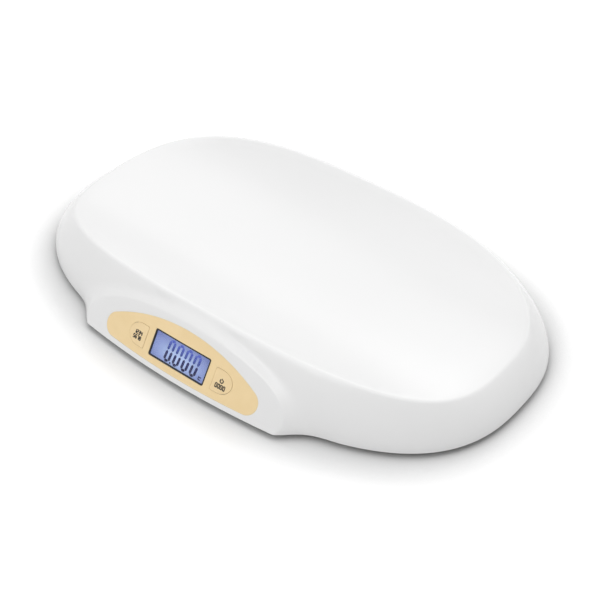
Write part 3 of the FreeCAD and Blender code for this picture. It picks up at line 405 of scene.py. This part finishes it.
# %% [markdown]
# ## The display
# A reflective-transmissive liquid-crystal display is a glass sandwich in front of a light guide. Lit from
# behind by blue-white diodes it is never even: it is palest in the middle and a deeper blue towards its
# edges. The distance from a point near the middle, stirred by a slow noise, runs through a ramp and gives
# that. The light is emission, so it shows through the clear window in front.

# %% Lit glass
GLOW_COLOURS = [
    (0.08, linear(188, 208, 242)), (0.26, linear(166, 186, 222)), (0.42, linear(138, 154, 202)),
    (0.62, linear(106, 118, 172)),
]
GLOW_CLOUDS = 60.0
GLOW_STIR = 0.1
GLOW_STRENGTH = 0.75
GLASS_BODY = linear(70, 80, 120)
GLASS_CLOUDS = 300.0
GLASS_ROUGHNESS = (0.1, 0.2)

display_low, display_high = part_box("display_glass")
display_blue, display_shader = start_material("display_blue")
from_spot = add(display_blue, "ShaderNodeCombineXYZ")
for target, axis, low, high, middle, spread_out in (
    ("X", "X", display_low.x, display_high.x, 0.5, 1.0),
    ("Y", "Z", display_low.z, display_high.z, 0.43, 1.1),
):
    share = remap(
        display_blue, along(display_blue, axis), low, high, -middle * spread_out, (1.0 - middle) * spread_out
    )
    join(display_blue, share, from_spot.inputs[target])
distance = length_of(display_blue, from_spot.outputs["Vector"])
stirred = maths(display_blue, "MULTIPLY_ADD", grain(display_blue, GLOW_CLOUDS), GLOW_STIR, distance)
join(display_blue, ramp(display_blue, stirred, GLOW_COLOURS), display_shader.inputs["Emission Color"])
display_shader.inputs["Emission Strength"].default_value = GLOW_STRENGTH
display_shader.inputs["Base Color"].default_value = GLASS_BODY
gloss(display_blue, display_shader, grain(display_blue, GLASS_CLOUDS), *GLASS_ROUGHNESS)
dress(display_blue, "display_glass")
print("display glass spans, in mm:", [round(1000 * s, 1) for s in display_high - display_low])

# %% [markdown]
# ## The window and the bezel
# A clear acrylic pane closes the opening, set in a dark frame that hides the glass's edge. The pane has a few
# faint swirls from moulding in its gloss. Its refractive index is set below acrylic's 1.49: that weakens the
# reflections in it, which would veil the figures. The frame is black plastic with a fine grain.

# %% Clear pane and black frame
PANE_INDEX = 1.2
PANE_GLOSS_SWIRLS, PANE_RELIEF_SWIRLS = 200.0, 60.0
PANE_ROUGHNESS = (0.02, 0.07)
PANE_DEPTH = 0.000006

window_clear, window_shader = start_material("window_clear")
window_shader.inputs["Base Color"].default_value = WHITE
window_shader.inputs["Transmission Weight"].default_value = 1.0
window_shader.inputs["IOR"].default_value = PANE_INDEX
gloss(window_clear, window_shader, grain(window_clear, PANE_GLOSS_SWIRLS, detail=3.0), *PANE_ROUGHNESS)
relief(window_clear, window_shader, grain(window_clear, PANE_RELIEF_SWIRLS), PANE_DEPTH)
bezel_dark = plastic("bezel_dark", (18, 18, 19), (26, 26, 27), 200.0, (0.4, 0.55), 5000.0, 0.00001)
dress(window_clear, "display_window")
dress_smooth(bezel_dark, "display_bezel")
print("window and frame ready")

# %% [markdown]
# ## The circuit board
# Inner pieces never show in the picture, yet each has its own finish, so that the assembly reads rightly when
# it is opened. A board's solder mask is a glossy green with paler tracks under it: a brick pattern gives the
# tracks as its mortar, and its relief raises them. The parts on it are small mouldings and cans.

# %% Board and the parts on it
TRACKS_SCALE = 160.0
TRACK_WIDTH = 0.03
TRACK_DEPTH = 0.00003
MASK_GREENS = (linear(20, 88, 48), linear(24, 96, 54))
TRACK_GREEN = linear(52, 130, 80)
BOARD_CLOUDS = 500.0
BOARD_ROUGHNESS = (0.25, 0.4)

board_green, board_shader = start_material("board_green")
tracks = add(board_green, "ShaderNodeTexBrick")
join(board_green, object_place(board_green), tracks.inputs["Vector"])
tracks.inputs["Scale"].default_value = TRACKS_SCALE
tracks.inputs["Mortar Size"].default_value = TRACK_WIDTH
tracks.inputs["Color1"].default_value, tracks.inputs["Color2"].default_value = MASK_GREENS
tracks.inputs["Mortar"].default_value = TRACK_GREEN
join(board_green, tracks.outputs["Color"], board_shader.inputs["Base Color"])
gloss(board_green, board_shader, grain(board_green, BOARD_CLOUDS), *BOARD_ROUGHNESS)
relief(board_green, board_shader, tracks.outputs["Fac"], TRACK_DEPTH)
dress(board_green, "main_board")

INNER_FINISHES = [
    ("resin_black", (16, 16, 17), (26, 26, 28), 300.0, (0.12, 0.25), 900.0, 0.00004),
    ("switch_black", (22, 22, 24), (34, 34, 36), 300.0, (0.4, 0.5), 6000.0, 0.00001),
    ("socket_cream", (222, 212, 186), (232, 222, 198), 200.0, (0.35, 0.5), 4000.0, 0.00001),
    ("light_guide", (190, 200, 238), (204, 212, 244), 80.0, (0.15, 0.3), 1500.0, 0.00001),
    ("capacitor_can", (34, 40, 78), (44, 50, 92), 300.0, (0.25, 0.4), 3000.0, 0.00001),
]
resin_black, switch_black, socket_cream, light_guide, capacitor_can = [
    plastic(*row) for row in INNER_FINISHES
]
dress(resin_black, "controller_chip")
dress(switch_black, "zero_switch", "hold_switch", "zero_plunger", "hold_plunger")
dress(socket_cream, "lead_sockets")
dress(light_guide, "display_backlight")
dress(capacitor_can, "board_capacitors")
print("board finishes ready:", 1 + len(INNER_FINISHES))

# %% [markdown]
# ## The contact strip, metals and cells
# A rubber contact strip carries the display's signals in thin dark layers between pale ones, so it is striped
# across. Screws, contacts and load cells are steel or nickel, drawn or ground in one direction each. The
# battery cells wear a smooth printed sleeve with a clear coat.

# %% Strip, metals and sleeves
STRIPES_SCALE = 1200.0
STRIPE_SHADES = [(0.4, linear(40, 40, 44)), (0.6, linear(196, 190, 178))]
STRIP_CLOUDS = 900.0
STRIP_ROUGHNESS = (0.5, 0.7)
METAL_FINISHES = [
    ("screw_steel", (0.32, 0.32, 0.33, 1), (0.5, 0.5, 0.5, 1), (0.25, 0.4), (1.0, 1.0, 0.2)),
    ("contact_nickel", (0.5, 0.47, 0.4, 1), (0.66, 0.63, 0.57, 1), (0.2, 0.35), (1.0, 0.3, 1.0)),
    ("cell_steel", (0.42, 0.43, 0.45, 1), (0.6, 0.6, 0.62, 1), (0.3, 0.45), (0.15, 1.0, 1.0)),
]
BATTERY_COUNT = 4

strip_grey, strip_shader = start_material("strip_grey")
stripes = add(strip_grey, "ShaderNodeTexWave", wave_type="BANDS", bands_direction="X")
join(strip_grey, object_place(strip_grey), stripes.inputs["Vector"])
stripes.inputs["Scale"].default_value = STRIPES_SCALE
stripe_colour = ramp(strip_grey, stripes.outputs["Fac"], STRIPE_SHADES)
join(strip_grey, stripe_colour, strip_shader.inputs["Base Color"])
gloss(strip_grey, strip_shader, grain(strip_grey, STRIP_CLOUDS), *STRIP_ROUGHNESS)
dress(strip_grey, "zebra_strip")

screw_steel, contact_nickel, cell_steel = [metal(*row) for row in METAL_FINISHES]
dress(screw_steel, "housing_screws", "board_screws", "cell_screws")
dress(contact_nickel, "contact_plates", "contact_springs")
dress(cell_steel, *["load_cell_" + corner for corner in corners])
battery_wrap = plastic(
    "battery_wrap", (58, 62, 70), (76, 80, 88), 120.0, (0.2, 0.32), 2500.0, 0.00001, coat=0.5
)
dress(battery_wrap, *["battery_" + str(number) for number in range(1, BATTERY_COUNT + 1)])
print("inner finishes ready")

# %% [markdown]
# ## The console's own frame
# The display, the keys and their marks all lie on one sloping face. It is easiest to draw them flat, in
# millimetres across and up the slope, and then carry them onto the face. The face is a little bowed, so a
# mark's depth follows a large circle: the further from the middle, the deeper.

# %% From the flat drawing to the console face
CONSOLE_TILT = math.radians(57.0)
BOW_RADIUS = 1116.0
FRONT_EDGE = Vector((0.0, cad_low.y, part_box("top_housing")[0].z))
slope_across = np.array([1.0, 0.0, 0.0])
slope_up = np.array([0.0, math.cos(CONSOLE_TILT), math.sin(CONSOLE_TILT)])
slope_out = np.array([0.0, -math.sin(CONSOLE_TILT), math.cos(CONSOLE_TILT)])


def on_console(flat, bowed=True):
    """Rows of (across, up, out) in mm become points in metres; out is measured from the bowed face."""
    across, up, out = flat[:, 0], flat[:, 1], flat[:, 2]
    if bowed:
        out = out - (BOW_RADIUS - np.sqrt(BOW_RADIUS ** 2 - across ** 2))
    flat_part = np.outer(across, slope_across) + np.outer(up, slope_up) + np.outer(out, slope_out)
    return flat_part * MM + np.array(FRONT_EDGE)


def new_piece(name, points, faces, material, body):
    """Makes a mesh object that rides on a body and takes a slot's finish."""
    mesh = bpy.data.meshes.new(name)
    mesh.from_pydata(points.tolist(), [], faces)
    mesh.update()
    mesh.materials.append(material)
    piece = bpy.data.objects.new(name, mesh)
    bpy.context.scene.collection.objects.link(piece)
    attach(piece, body)


print("console's lower edge, in mm:", [round(1000 * c, 1) for c in FRONT_EDGE])

# %% [markdown]
# ## Thin plates from outlines
# Printed marks and lit bars are thin flat plates. Each starts as an outline drawn flat, which is given two
# depths and a rim. Plates of one mark are gathered into one mesh, with their corner numbers moved on.

# %% Outlines and slabs
BAR_GAP = 0.22


def bar_outline(start, end, width):
    """A six-sided bar between two points: two long sides and a point at each end."""
    start, end = np.array(start), np.array(end)
    along_bar = (end - start) / np.linalg.norm(end - start)
    side = np.array([-along_bar[1], along_bar[0]]) * width / 2.0
    near, far = start + along_bar * BAR_GAP, end - along_bar * BAR_GAP
    shoulder = along_bar * width / 2.0
    return np.array([
        near, near + shoulder - side, far - shoulder - side,
        far, far - shoulder + side, near + shoulder + side,
    ])


def disc_outline(middle, radius, count=24):
    """A ring of points round a centre."""
    turn = np.linspace(0.0, 2.0 * math.pi, count, endpoint=False)
    return np.column_stack([middle[0] + radius * np.cos(turn), middle[1] + radius * np.sin(turn)])


def slab(outline, out_low, out_high):
    """A flat outline given thickness: its points at two depths, and faces for both sides and the rim."""
    count = len(outline)
    low = np.column_stack([outline, np.full(count, out_low)])
    high = np.column_stack([outline, np.full(count, out_high)])
    step = np.arange(count)
    sides = np.column_stack([step, (step + 1) % count, (step + 1) % count + count, step + count])
    return np.vstack([low, high]), [step[::-1].tolist(), (step + count).tolist()] + sides.tolist()


def gather(slabs):
    """Joins several slabs into one list of points and faces."""
    points, faces, offset = [], [], 0
    for slab_points, slab_faces in slabs:
        points.append(slab_points)
        faces += [[corner + offset for corner in face] for face in slab_faces]
        offset += len(slab_points)
    return np.vstack(points), faces


print("corners of a bar:", len(bar_outline((0.0, 0.0), (10.0, 0.0), 2.0)))

# %% [markdown]
# ## Figures on the display
# Each figure is seven bars, and each bar is a slim six-sided plate with pointed ends, so that neighbours meet
# on a slanted hairline. A figure is a list of which bars are lit, here the six round a zero. The whole row
# leans a little to the right: each point moves left by a share of how far it lies below the figures' top.

# %% The bars of a zero
FIGURE_WIDTH = 8.2
FIGURE_LOW = 13.5
FIGURE_HIGH = 36.4
FIGURE_LEAN = 0.08
BAR = 2.8


def zero_bars(middle):
    """The six lit bars of a zero, whose bar centres stand half a bar inside its outline."""
    left, right = middle - (FIGURE_WIDTH - BAR) / 2.0, middle + (FIGURE_WIDTH - BAR) / 2.0
    low, high = FIGURE_LOW + BAR / 2.0, FIGURE_HIGH - BAR / 2.0
    half = (low + high) / 2.0
    bar_ends = [
        ((left, low), (right, low)), ((left, high), (right, high)), ((left, low), (left, half)),
        ((left, half), (left, high)), ((right, low), (right, half)), ((right, half), (right, high)),
    ]
    return [bar_outline(start, end, BAR) for start, end in bar_ends]


print("bars in a zero:", len(zero_bars(0.0)))

# %% [markdown]
# ## The crystal's ink
# The ink of the lit bars runs from navy at the foot of the display to a clear blue at its top, by a ramp on
# height. The paler top is painted light, not a change in the crystal. A little of it is emission, because the
# light guide shines through the bars as well.

# %% Ink that fades with height
# Ink shades by height: the paler blue towards the top is painted light.
INK_WITH_PAINTED_LIGHT_COLOURS = [
    (0.15, linear(0, 3, 52)), (0.47, linear(0, 8, 78)), (0.56, linear(38, 56, 124)),
    (0.9, linear(70, 86, 178)),
]
CRYSTAL_GLOW = 0.4
CRYSTAL_CLOUDS = 900.0
CRYSTAL_ROUGHNESS = (0.35, 0.5)

liquid_crystal, crystal_shader = start_material("liquid_crystal")
crystal_height = remap(liquid_crystal, along(liquid_crystal, "Z"), display_low.z, display_high.z)
# Painted light: the ink is paler towards the top, and it glows in the same colours.
ink_with_painted_light = ramp(liquid_crystal, crystal_height, INK_WITH_PAINTED_LIGHT_COLOURS)
join(liquid_crystal, ink_with_painted_light, crystal_shader.inputs["Base Color"])
join(liquid_crystal, ink_with_painted_light, crystal_shader.inputs["Emission Color"])
crystal_shader.inputs["Emission Strength"].default_value = CRYSTAL_GLOW
gloss(liquid_crystal, crystal_shader, grain(liquid_crystal, CRYSTAL_CLOUDS), *CRYSTAL_ROUGHNESS)
print("ink ready:", liquid_crystal.name)

# %% [markdown]
# ## Placing the figures
# Four figures stand a little right of the display's middle, a decimal point follows the first, and a small
# unit mark of two level strokes and an upright closes the row. They lie in the glass's face, behind the
# window.

# %% Four zeros, a point and a unit mark
FIGURE_COUNT = 4
FIGURE_PITCH = 10.8
FIRST_FIGURE = -12.0
POINT_ASIDE, POINT_RISE, POINT_RADIUS = 0.3, 0.9, 0.95
UNIT_MARK_LEFT = 28.6
UNIT_MARK_LOW = 14.9
UNIT_MARK_WIDTH = 3.2
UNIT_MARK_LEVELS = (0.0, 2.4)
UNIT_MARK_BELOW, UNIT_MARK_ABOVE = 0.8, 3.6
UNIT_STROKE = 1.1
GLASS_FACE = -2.1
BAR_THICKNESS = 0.06

figure_middles = FIRST_FIGURE + FIGURE_PITCH * np.arange(FIGURE_COUNT)
lit_outlines = [outline for middle in figure_middles for outline in zero_bars(middle)]
point_middle = (figure_middles[0] + FIGURE_PITCH / 2.0 - POINT_ASIDE, FIGURE_LOW + POINT_RISE)
lit_outlines.append(disc_outline(point_middle, POINT_RADIUS))
for rise in UNIT_MARK_LEVELS:
    level = UNIT_MARK_LOW + rise
    lit_outlines.append(bar_outline(
        (UNIT_MARK_LEFT, level), (UNIT_MARK_LEFT + UNIT_MARK_WIDTH, level), UNIT_STROKE
    ))
lit_outlines.append(bar_outline(
    (UNIT_MARK_LEFT, UNIT_MARK_LOW - UNIT_MARK_BELOW), (UNIT_MARK_LEFT, UNIT_MARK_LOW + UNIT_MARK_ABOVE),
    UNIT_STROKE,
))
for outline in lit_outlines:
    outline[:, 0] += (outline[:, 1] - FIGURE_HIGH) * FIGURE_LEAN
figure_points, figure_faces = gather([
    slab(outline, GLASS_FACE - BAR_THICKNESS, GLASS_FACE + BAR_THICKNESS) for outline in lit_outlines
])
new_piece(
    "display_figures", on_console(figure_points, bowed=False), figure_faces,
    liquid_crystal, "housing",
)
print("lit plates:", len(lit_outlines))

# %% [markdown]
# ## Numerals for the keys
# A key's mark is ink printed on its cap, a few hundredths of a millimetre thick. The numerals are small
# seven-bar figures, a plain and unowned letterform. Each bar is lengthened by a share of its stroke, so the
# bars run into each other at the corners and the numeral reads as one shape.

# %% Small seven-bar numerals
NUMERAL_WIDTH, NUMERAL_PITCH = 0.46, 0.78
INK_OVERLAP = 0.42
INK_BARS = {
    "0": "abcdef", "1": "bc", "2": "abged", "3": "abgcd", "4": "fgbc", "5": "afgcd", "6": "afgedc",
    "7": "abc", "8": "abcdefg",
}


def numeral(character, left, low, width, height, stroke):
    """Outlines of one small seven-bar numeral in a cell of this width and height."""
    right, high, half = left + width, low + height, low + height / 2.0
    ends = {
        "a": ((left, high), (right, high)), "b": ((right, half), (right, high)),
        "c": ((right, low), (right, half)), "d": ((left, low), (right, low)),
        "e": ((left, low), (left, half)), "f": ((left, half), (left, high)),
        "g": ((left, half), (right, half)),
    }
    outlines = []
    for bar in INK_BARS[character]:
        start, end = np.array(ends[bar][0]), np.array(ends[bar][1])
        reach = (end - start) / np.linalg.norm(end - start) * (INK_OVERLAP * stroke + BAR_GAP)
        outlines.append(bar_outline(start - reach, end + reach, stroke))
    return outlines


def number_row(text, middle, low, height, stroke):
    """A centred row of numerals; their width and pitch are shares of their height."""
    width, pitch = height * NUMERAL_WIDTH, height * NUMERAL_PITCH
    first = middle - (len(text) - 1) * pitch / 2.0 - width / 2.0
    outlines = []
    for place, character in enumerate(text):
        outlines += numeral(character, first + place * pitch, low, width, height, stroke)
    return outlines


print("numerals known:", "".join(INK_BARS))

# %% [markdown]
# ## The ring of the power sign
# The right key carries the common ring-and-stroke sign for power. The ring is a band between two circles,
# open at the top for the stroke. Its outline goes out along the outer circle and back along the inner one,
# and because that shape is hollow, its faces are laid as a strip of quads instead of one large face.

# %% An open ring
def band(middle, radius, stroke, start, end, count=40):
    """Part of a ring, as one outline: out along the outer circle, back along the inner one."""
    turn = np.linspace(start, end, count)
    outer = np.column_stack([np.cos(turn), np.sin(turn)]) * (radius + stroke / 2.0)
    inner = np.column_stack([np.cos(turn[::-1]), np.sin(turn[::-1])]) * (radius - stroke / 2.0)
    return np.vstack([outer, inner]) + np.array(middle)


def ribbon(outline, out_low, out_high):
    """A band given thickness, its faces laid as quads from one circle to the other."""
    count = len(outline)
    half = count // 2
    points, _ = slab(outline, out_low, out_high)
    step = np.arange(half - 1)
    bottom = np.column_stack([step, count - 1 - step, count - 2 - step, step + 1])[:, ::-1]
    top = np.column_stack([step, step + 1, count - 2 - step, count - 1 - step])[:, ::-1] + count
    rim = np.arange(count)
    sides = np.column_stack([rim, (rim + 1) % count, (rim + 1) % count + count, rim + count])
    return points, bottom.tolist() + top.tolist() + sides.tolist()


print("corners of a ring:", len(band((0.0, 0.0), 2.0, 1.0, 0.0, math.pi)))

# %% [markdown]
# ## Marks on the keys
# The left key carries two short rows of plain numerals, the right one the power sign above a row of zeros.
# The ink starts a little below the cap's face, so that no gap shows under it.

# %% Print the marks
KEY_FACE = 0.2
INK_ROOT = 0.02
INK_THICKNESS = 0.03
NUMERAL_STROKE = 1.05
LEFT_MIDDLE, LEFT_HEIGHT = -53.6, 3.4
UPPER_ROW, LOWER_ROW = 23.8, 18.8
RIGHT_MIDDLE, RIGHT_HEIGHT, RIGHT_ROW = 52.8, 3.9, 18.0
RING_CENTRE_UP, RING_RADIUS, RING_STROKE = 25.6, 1.75, 1.15
RING_START, RING_END = math.radians(125.0), math.radians(415.0)
SIGN_TOP, SIGN_STROKE = 28.6, 1.0

key_ink = plastic("key_ink", (28, 24, 20), (42, 36, 30), 400.0, (0.45, 0.6), 6000.0, 0.000004)
ink_depths = (KEY_FACE - INK_ROOT, KEY_FACE + INK_THICKNESS)


def mark_piece(name, slabs, body):
    """Prints slabs on a key cap."""
    points, faces = gather(slabs)
    new_piece(name, on_console(points), faces, key_ink, body)


left_rows = number_row("1234", LEFT_MIDDLE, UPPER_ROW, LEFT_HEIGHT, NUMERAL_STROKE)
left_rows += number_row("5678", LEFT_MIDDLE, LOWER_ROW, LEFT_HEIGHT, NUMERAL_STROKE)
mark_piece("hold_key_mark", [slab(outline, *ink_depths) for outline in left_rows], "hold_button")

ring_centre = (RIGHT_MIDDLE, RING_CENTRE_UP)
ring_slab = ribbon(band(ring_centre, RING_RADIUS, RING_STROKE, RING_START, RING_END), *ink_depths)
right_rows = number_row("0000", RIGHT_MIDDLE, RIGHT_ROW, RIGHT_HEIGHT, NUMERAL_STROKE)
right_rows.append(bar_outline(ring_centre, (RIGHT_MIDDLE, SIGN_TOP), SIGN_STROKE))
right_slabs = [ring_slab] + [slab(outline, *ink_depths) for outline in right_rows]
mark_piece("zero_key_mark", right_slabs, "zero_button")
print("plates printed:", len(left_rows) + len(right_slabs))

# %% [markdown]
# ## Floor and background
# A catalogue picture stands on endless white paper. The floor is one large sheet that takes the object's soft
# shadow from the lamps, and a painted shadow besides. Rays from the camera, off a gloss or through glass see
# it whitest in the open and glowing far away, so that it meets the white background without a line. Near the
# object, and darkest in the gap under the skirt, these rays see a painted shadow: an ambient-occlusion node
# measures how hemmed in the paper is and darkens its colour there, and the open glow is held back there too.
# All other rays see plain pale paper, so it throws no extra light. A mix node keeps a pair of inputs for each
# kind of value, which are reached by their numbers.

# %% White paper
FLOOR_REACH = 6.0
PAPER_ROUGHNESS, PAPER_SPECULAR = 0.9, 0.1
PAPER_PLAIN = linear(226, 226, 226)
PAPER_GLOW = 0.13
# Reach and shades of the painted shadow that darkens the paper near the object.
PAINTED_SHADOW_REACH = 0.055
PAINTED_SHADOW_SHADES = [(0.0, grey(0.38)), (0.5, grey(0.58)), (0.85, grey(0.87)), (1.0, grey(1.0))]
OPEN_SHADES = [(0.82, grey(0.0)), (1.0, grey(PAPER_GLOW))]
FADE_START, FADE_END = 0.7, 2.2
MIX_NUMBERS, MIX_NUMBER_OUT = (2, 3), 0
MIX_COLOURS, MIX_COLOUR_OUT = (6, 7), 2


def plainly_seen(material):
    """An output that is 1 for a ray from the camera, off a gloss or through glass, and 0 for any other."""
    light_path = add(material, "ShaderNodeLightPath")
    seen = light_path.outputs["Is Camera Ray"]
    for kind in ("Is Glossy Ray", "Is Transmission Ray"):
        seen = maths(material, "MAXIMUM", seen, light_path.outputs[kind])
    return seen


floor_mesh = bpy.data.meshes.new("floor")
floor_corners = np.array([[-1, -1, 0], [1, -1, 0], [1, 1, 0], [-1, 1, 0]]) * FLOOR_REACH
floor_mesh.from_pydata(floor_corners.tolist(), [], [(0, 1, 2, 3)])
floor = bpy.data.objects.new("floor", floor_mesh)
bpy.context.scene.collection.objects.link(floor)

paper, paper_shader = start_material("paper")
paper_shader.inputs["Roughness"].default_value = PAPER_ROUGHNESS
paper_shader.inputs["Specular IOR Level"].default_value = PAPER_SPECULAR
# Painted shadow: an ambient-occlusion node darkens the paper's colour near the object for camera, gloss and
# glass rays.
painted_shadow_nearness = add(paper, "ShaderNodeAmbientOcclusion")
painted_shadow_nearness.inputs["Distance"].default_value = PAINTED_SHADOW_REACH
seen = plainly_seen(paper)

open_glow = ramp(paper, painted_shadow_nearness.outputs["AO"], OPEN_SHADES)
far_glow = remap(paper, length_of(paper, object_place(paper)), FADE_START, FADE_END)
glow = maths(paper, "MULTIPLY", maths(paper, "MAXIMUM", open_glow, far_glow), seen)
join(paper, glow, paper_shader.inputs["Emission Strength"])
paper_shader.inputs["Emission Color"].default_value = WHITE

paper_with_painted_shadow = add(paper, "ShaderNodeMix", data_type="RGBA")
paper_with_painted_shadow.inputs[MIX_COLOURS[0]].default_value = PAPER_PLAIN
join(paper, ramp(paper, painted_shadow_nearness.outputs["AO"], PAINTED_SHADOW_SHADES), paper_with_painted_shadow.inputs[MIX_COLOURS[1]])
join(paper, seen, paper_with_painted_shadow.inputs["Factor"])
join(paper, paper_with_painted_shadow.outputs[MIX_COLOUR_OUT], paper_shader.inputs["Base Color"])
floor_mesh.materials.append(paper)
print("floor ready, metres across:", 2.0 * FLOOR_REACH)

# %% [markdown]
# ## Lamps
# One broad soft box hangs overhead, two stand behind, at the middle and at the left, and a smaller panel in
# front opens up the console. The strengths are set so that a surface lit fully shows about the colour that
# its material says. A row of the table is a lamp's name, its place, the point that it is turned to, its width
# and height in metres, and its power in watts.

# %% Soft boxes
SOFT_BOXES = [
    ("top_box", (0.0, 0.0, 1.8), (0.0, 0.0, 0.0), 1.6, 1.6, 8.2),
    ("rear_box", (0.2, 1.6, 1.05), (0.0, 0.0, 0.03), 2.0, 1.0, 7.2),
    ("far_box", (-0.96, 1.18, 1.3), (0.0, 0.0, 0.03), 1.4, 1.0, 3.8),
    ("front_panel", (-0.1, -1.1, 1.3), (0.0, -0.1, 0.03), 1.0, 0.6, 4.9),
]


def soft_box(name, place, aim, width, height, power):
    """A rectangular lamp at a place, turned towards a point."""
    data = bpy.data.lights.new(name, "AREA")
    data.shape = "RECTANGLE"
    data.size, data.size_y = width, height
    data.energy = power
    lamp = bpy.data.objects.new(name, data)
    lamp.location = place
    lamp.rotation_mode = "QUATERNION"
    lamp.rotation_quaternion = (Vector(aim) - Vector(place)).to_track_quat("-Z", "Y")
    bpy.context.scene.collection.objects.link(lamp)


for row in SOFT_BOXES:
    soft_box(*row)
print("lamps:", len(SOFT_BOXES), " power in watts:", round(sum(row[-1] for row in SOFT_BOXES), 1))

# %% [markdown]
# ## The surround
# An even white surround fills in what the lamps leave dark. It shines at a bit over half strength on the
# object, and is plain white where it is seen, mirrored, or looked at through the window.

# %% Even surround and plain colours
SURROUND_LEVEL = 0.57
world = bpy.data.worlds.new("surround")
world.use_nodes = True
bpy.context.scene.world = world
backdrop = world.node_tree.nodes["Background"]
backdrop.inputs["Color"].default_value = WHITE
world_level = add(world, "ShaderNodeMix")
world_level.inputs[MIX_NUMBERS[0]].default_value = SURROUND_LEVEL
world_level.inputs[MIX_NUMBERS[1]].default_value = 1.0
join(world, plainly_seen(world), world_level.inputs["Factor"])
join(world, world_level.outputs[MIX_NUMBER_OUT], backdrop.inputs["Strength"])
bpy.context.scene.view_settings.view_transform = "Standard"
print("light ready")
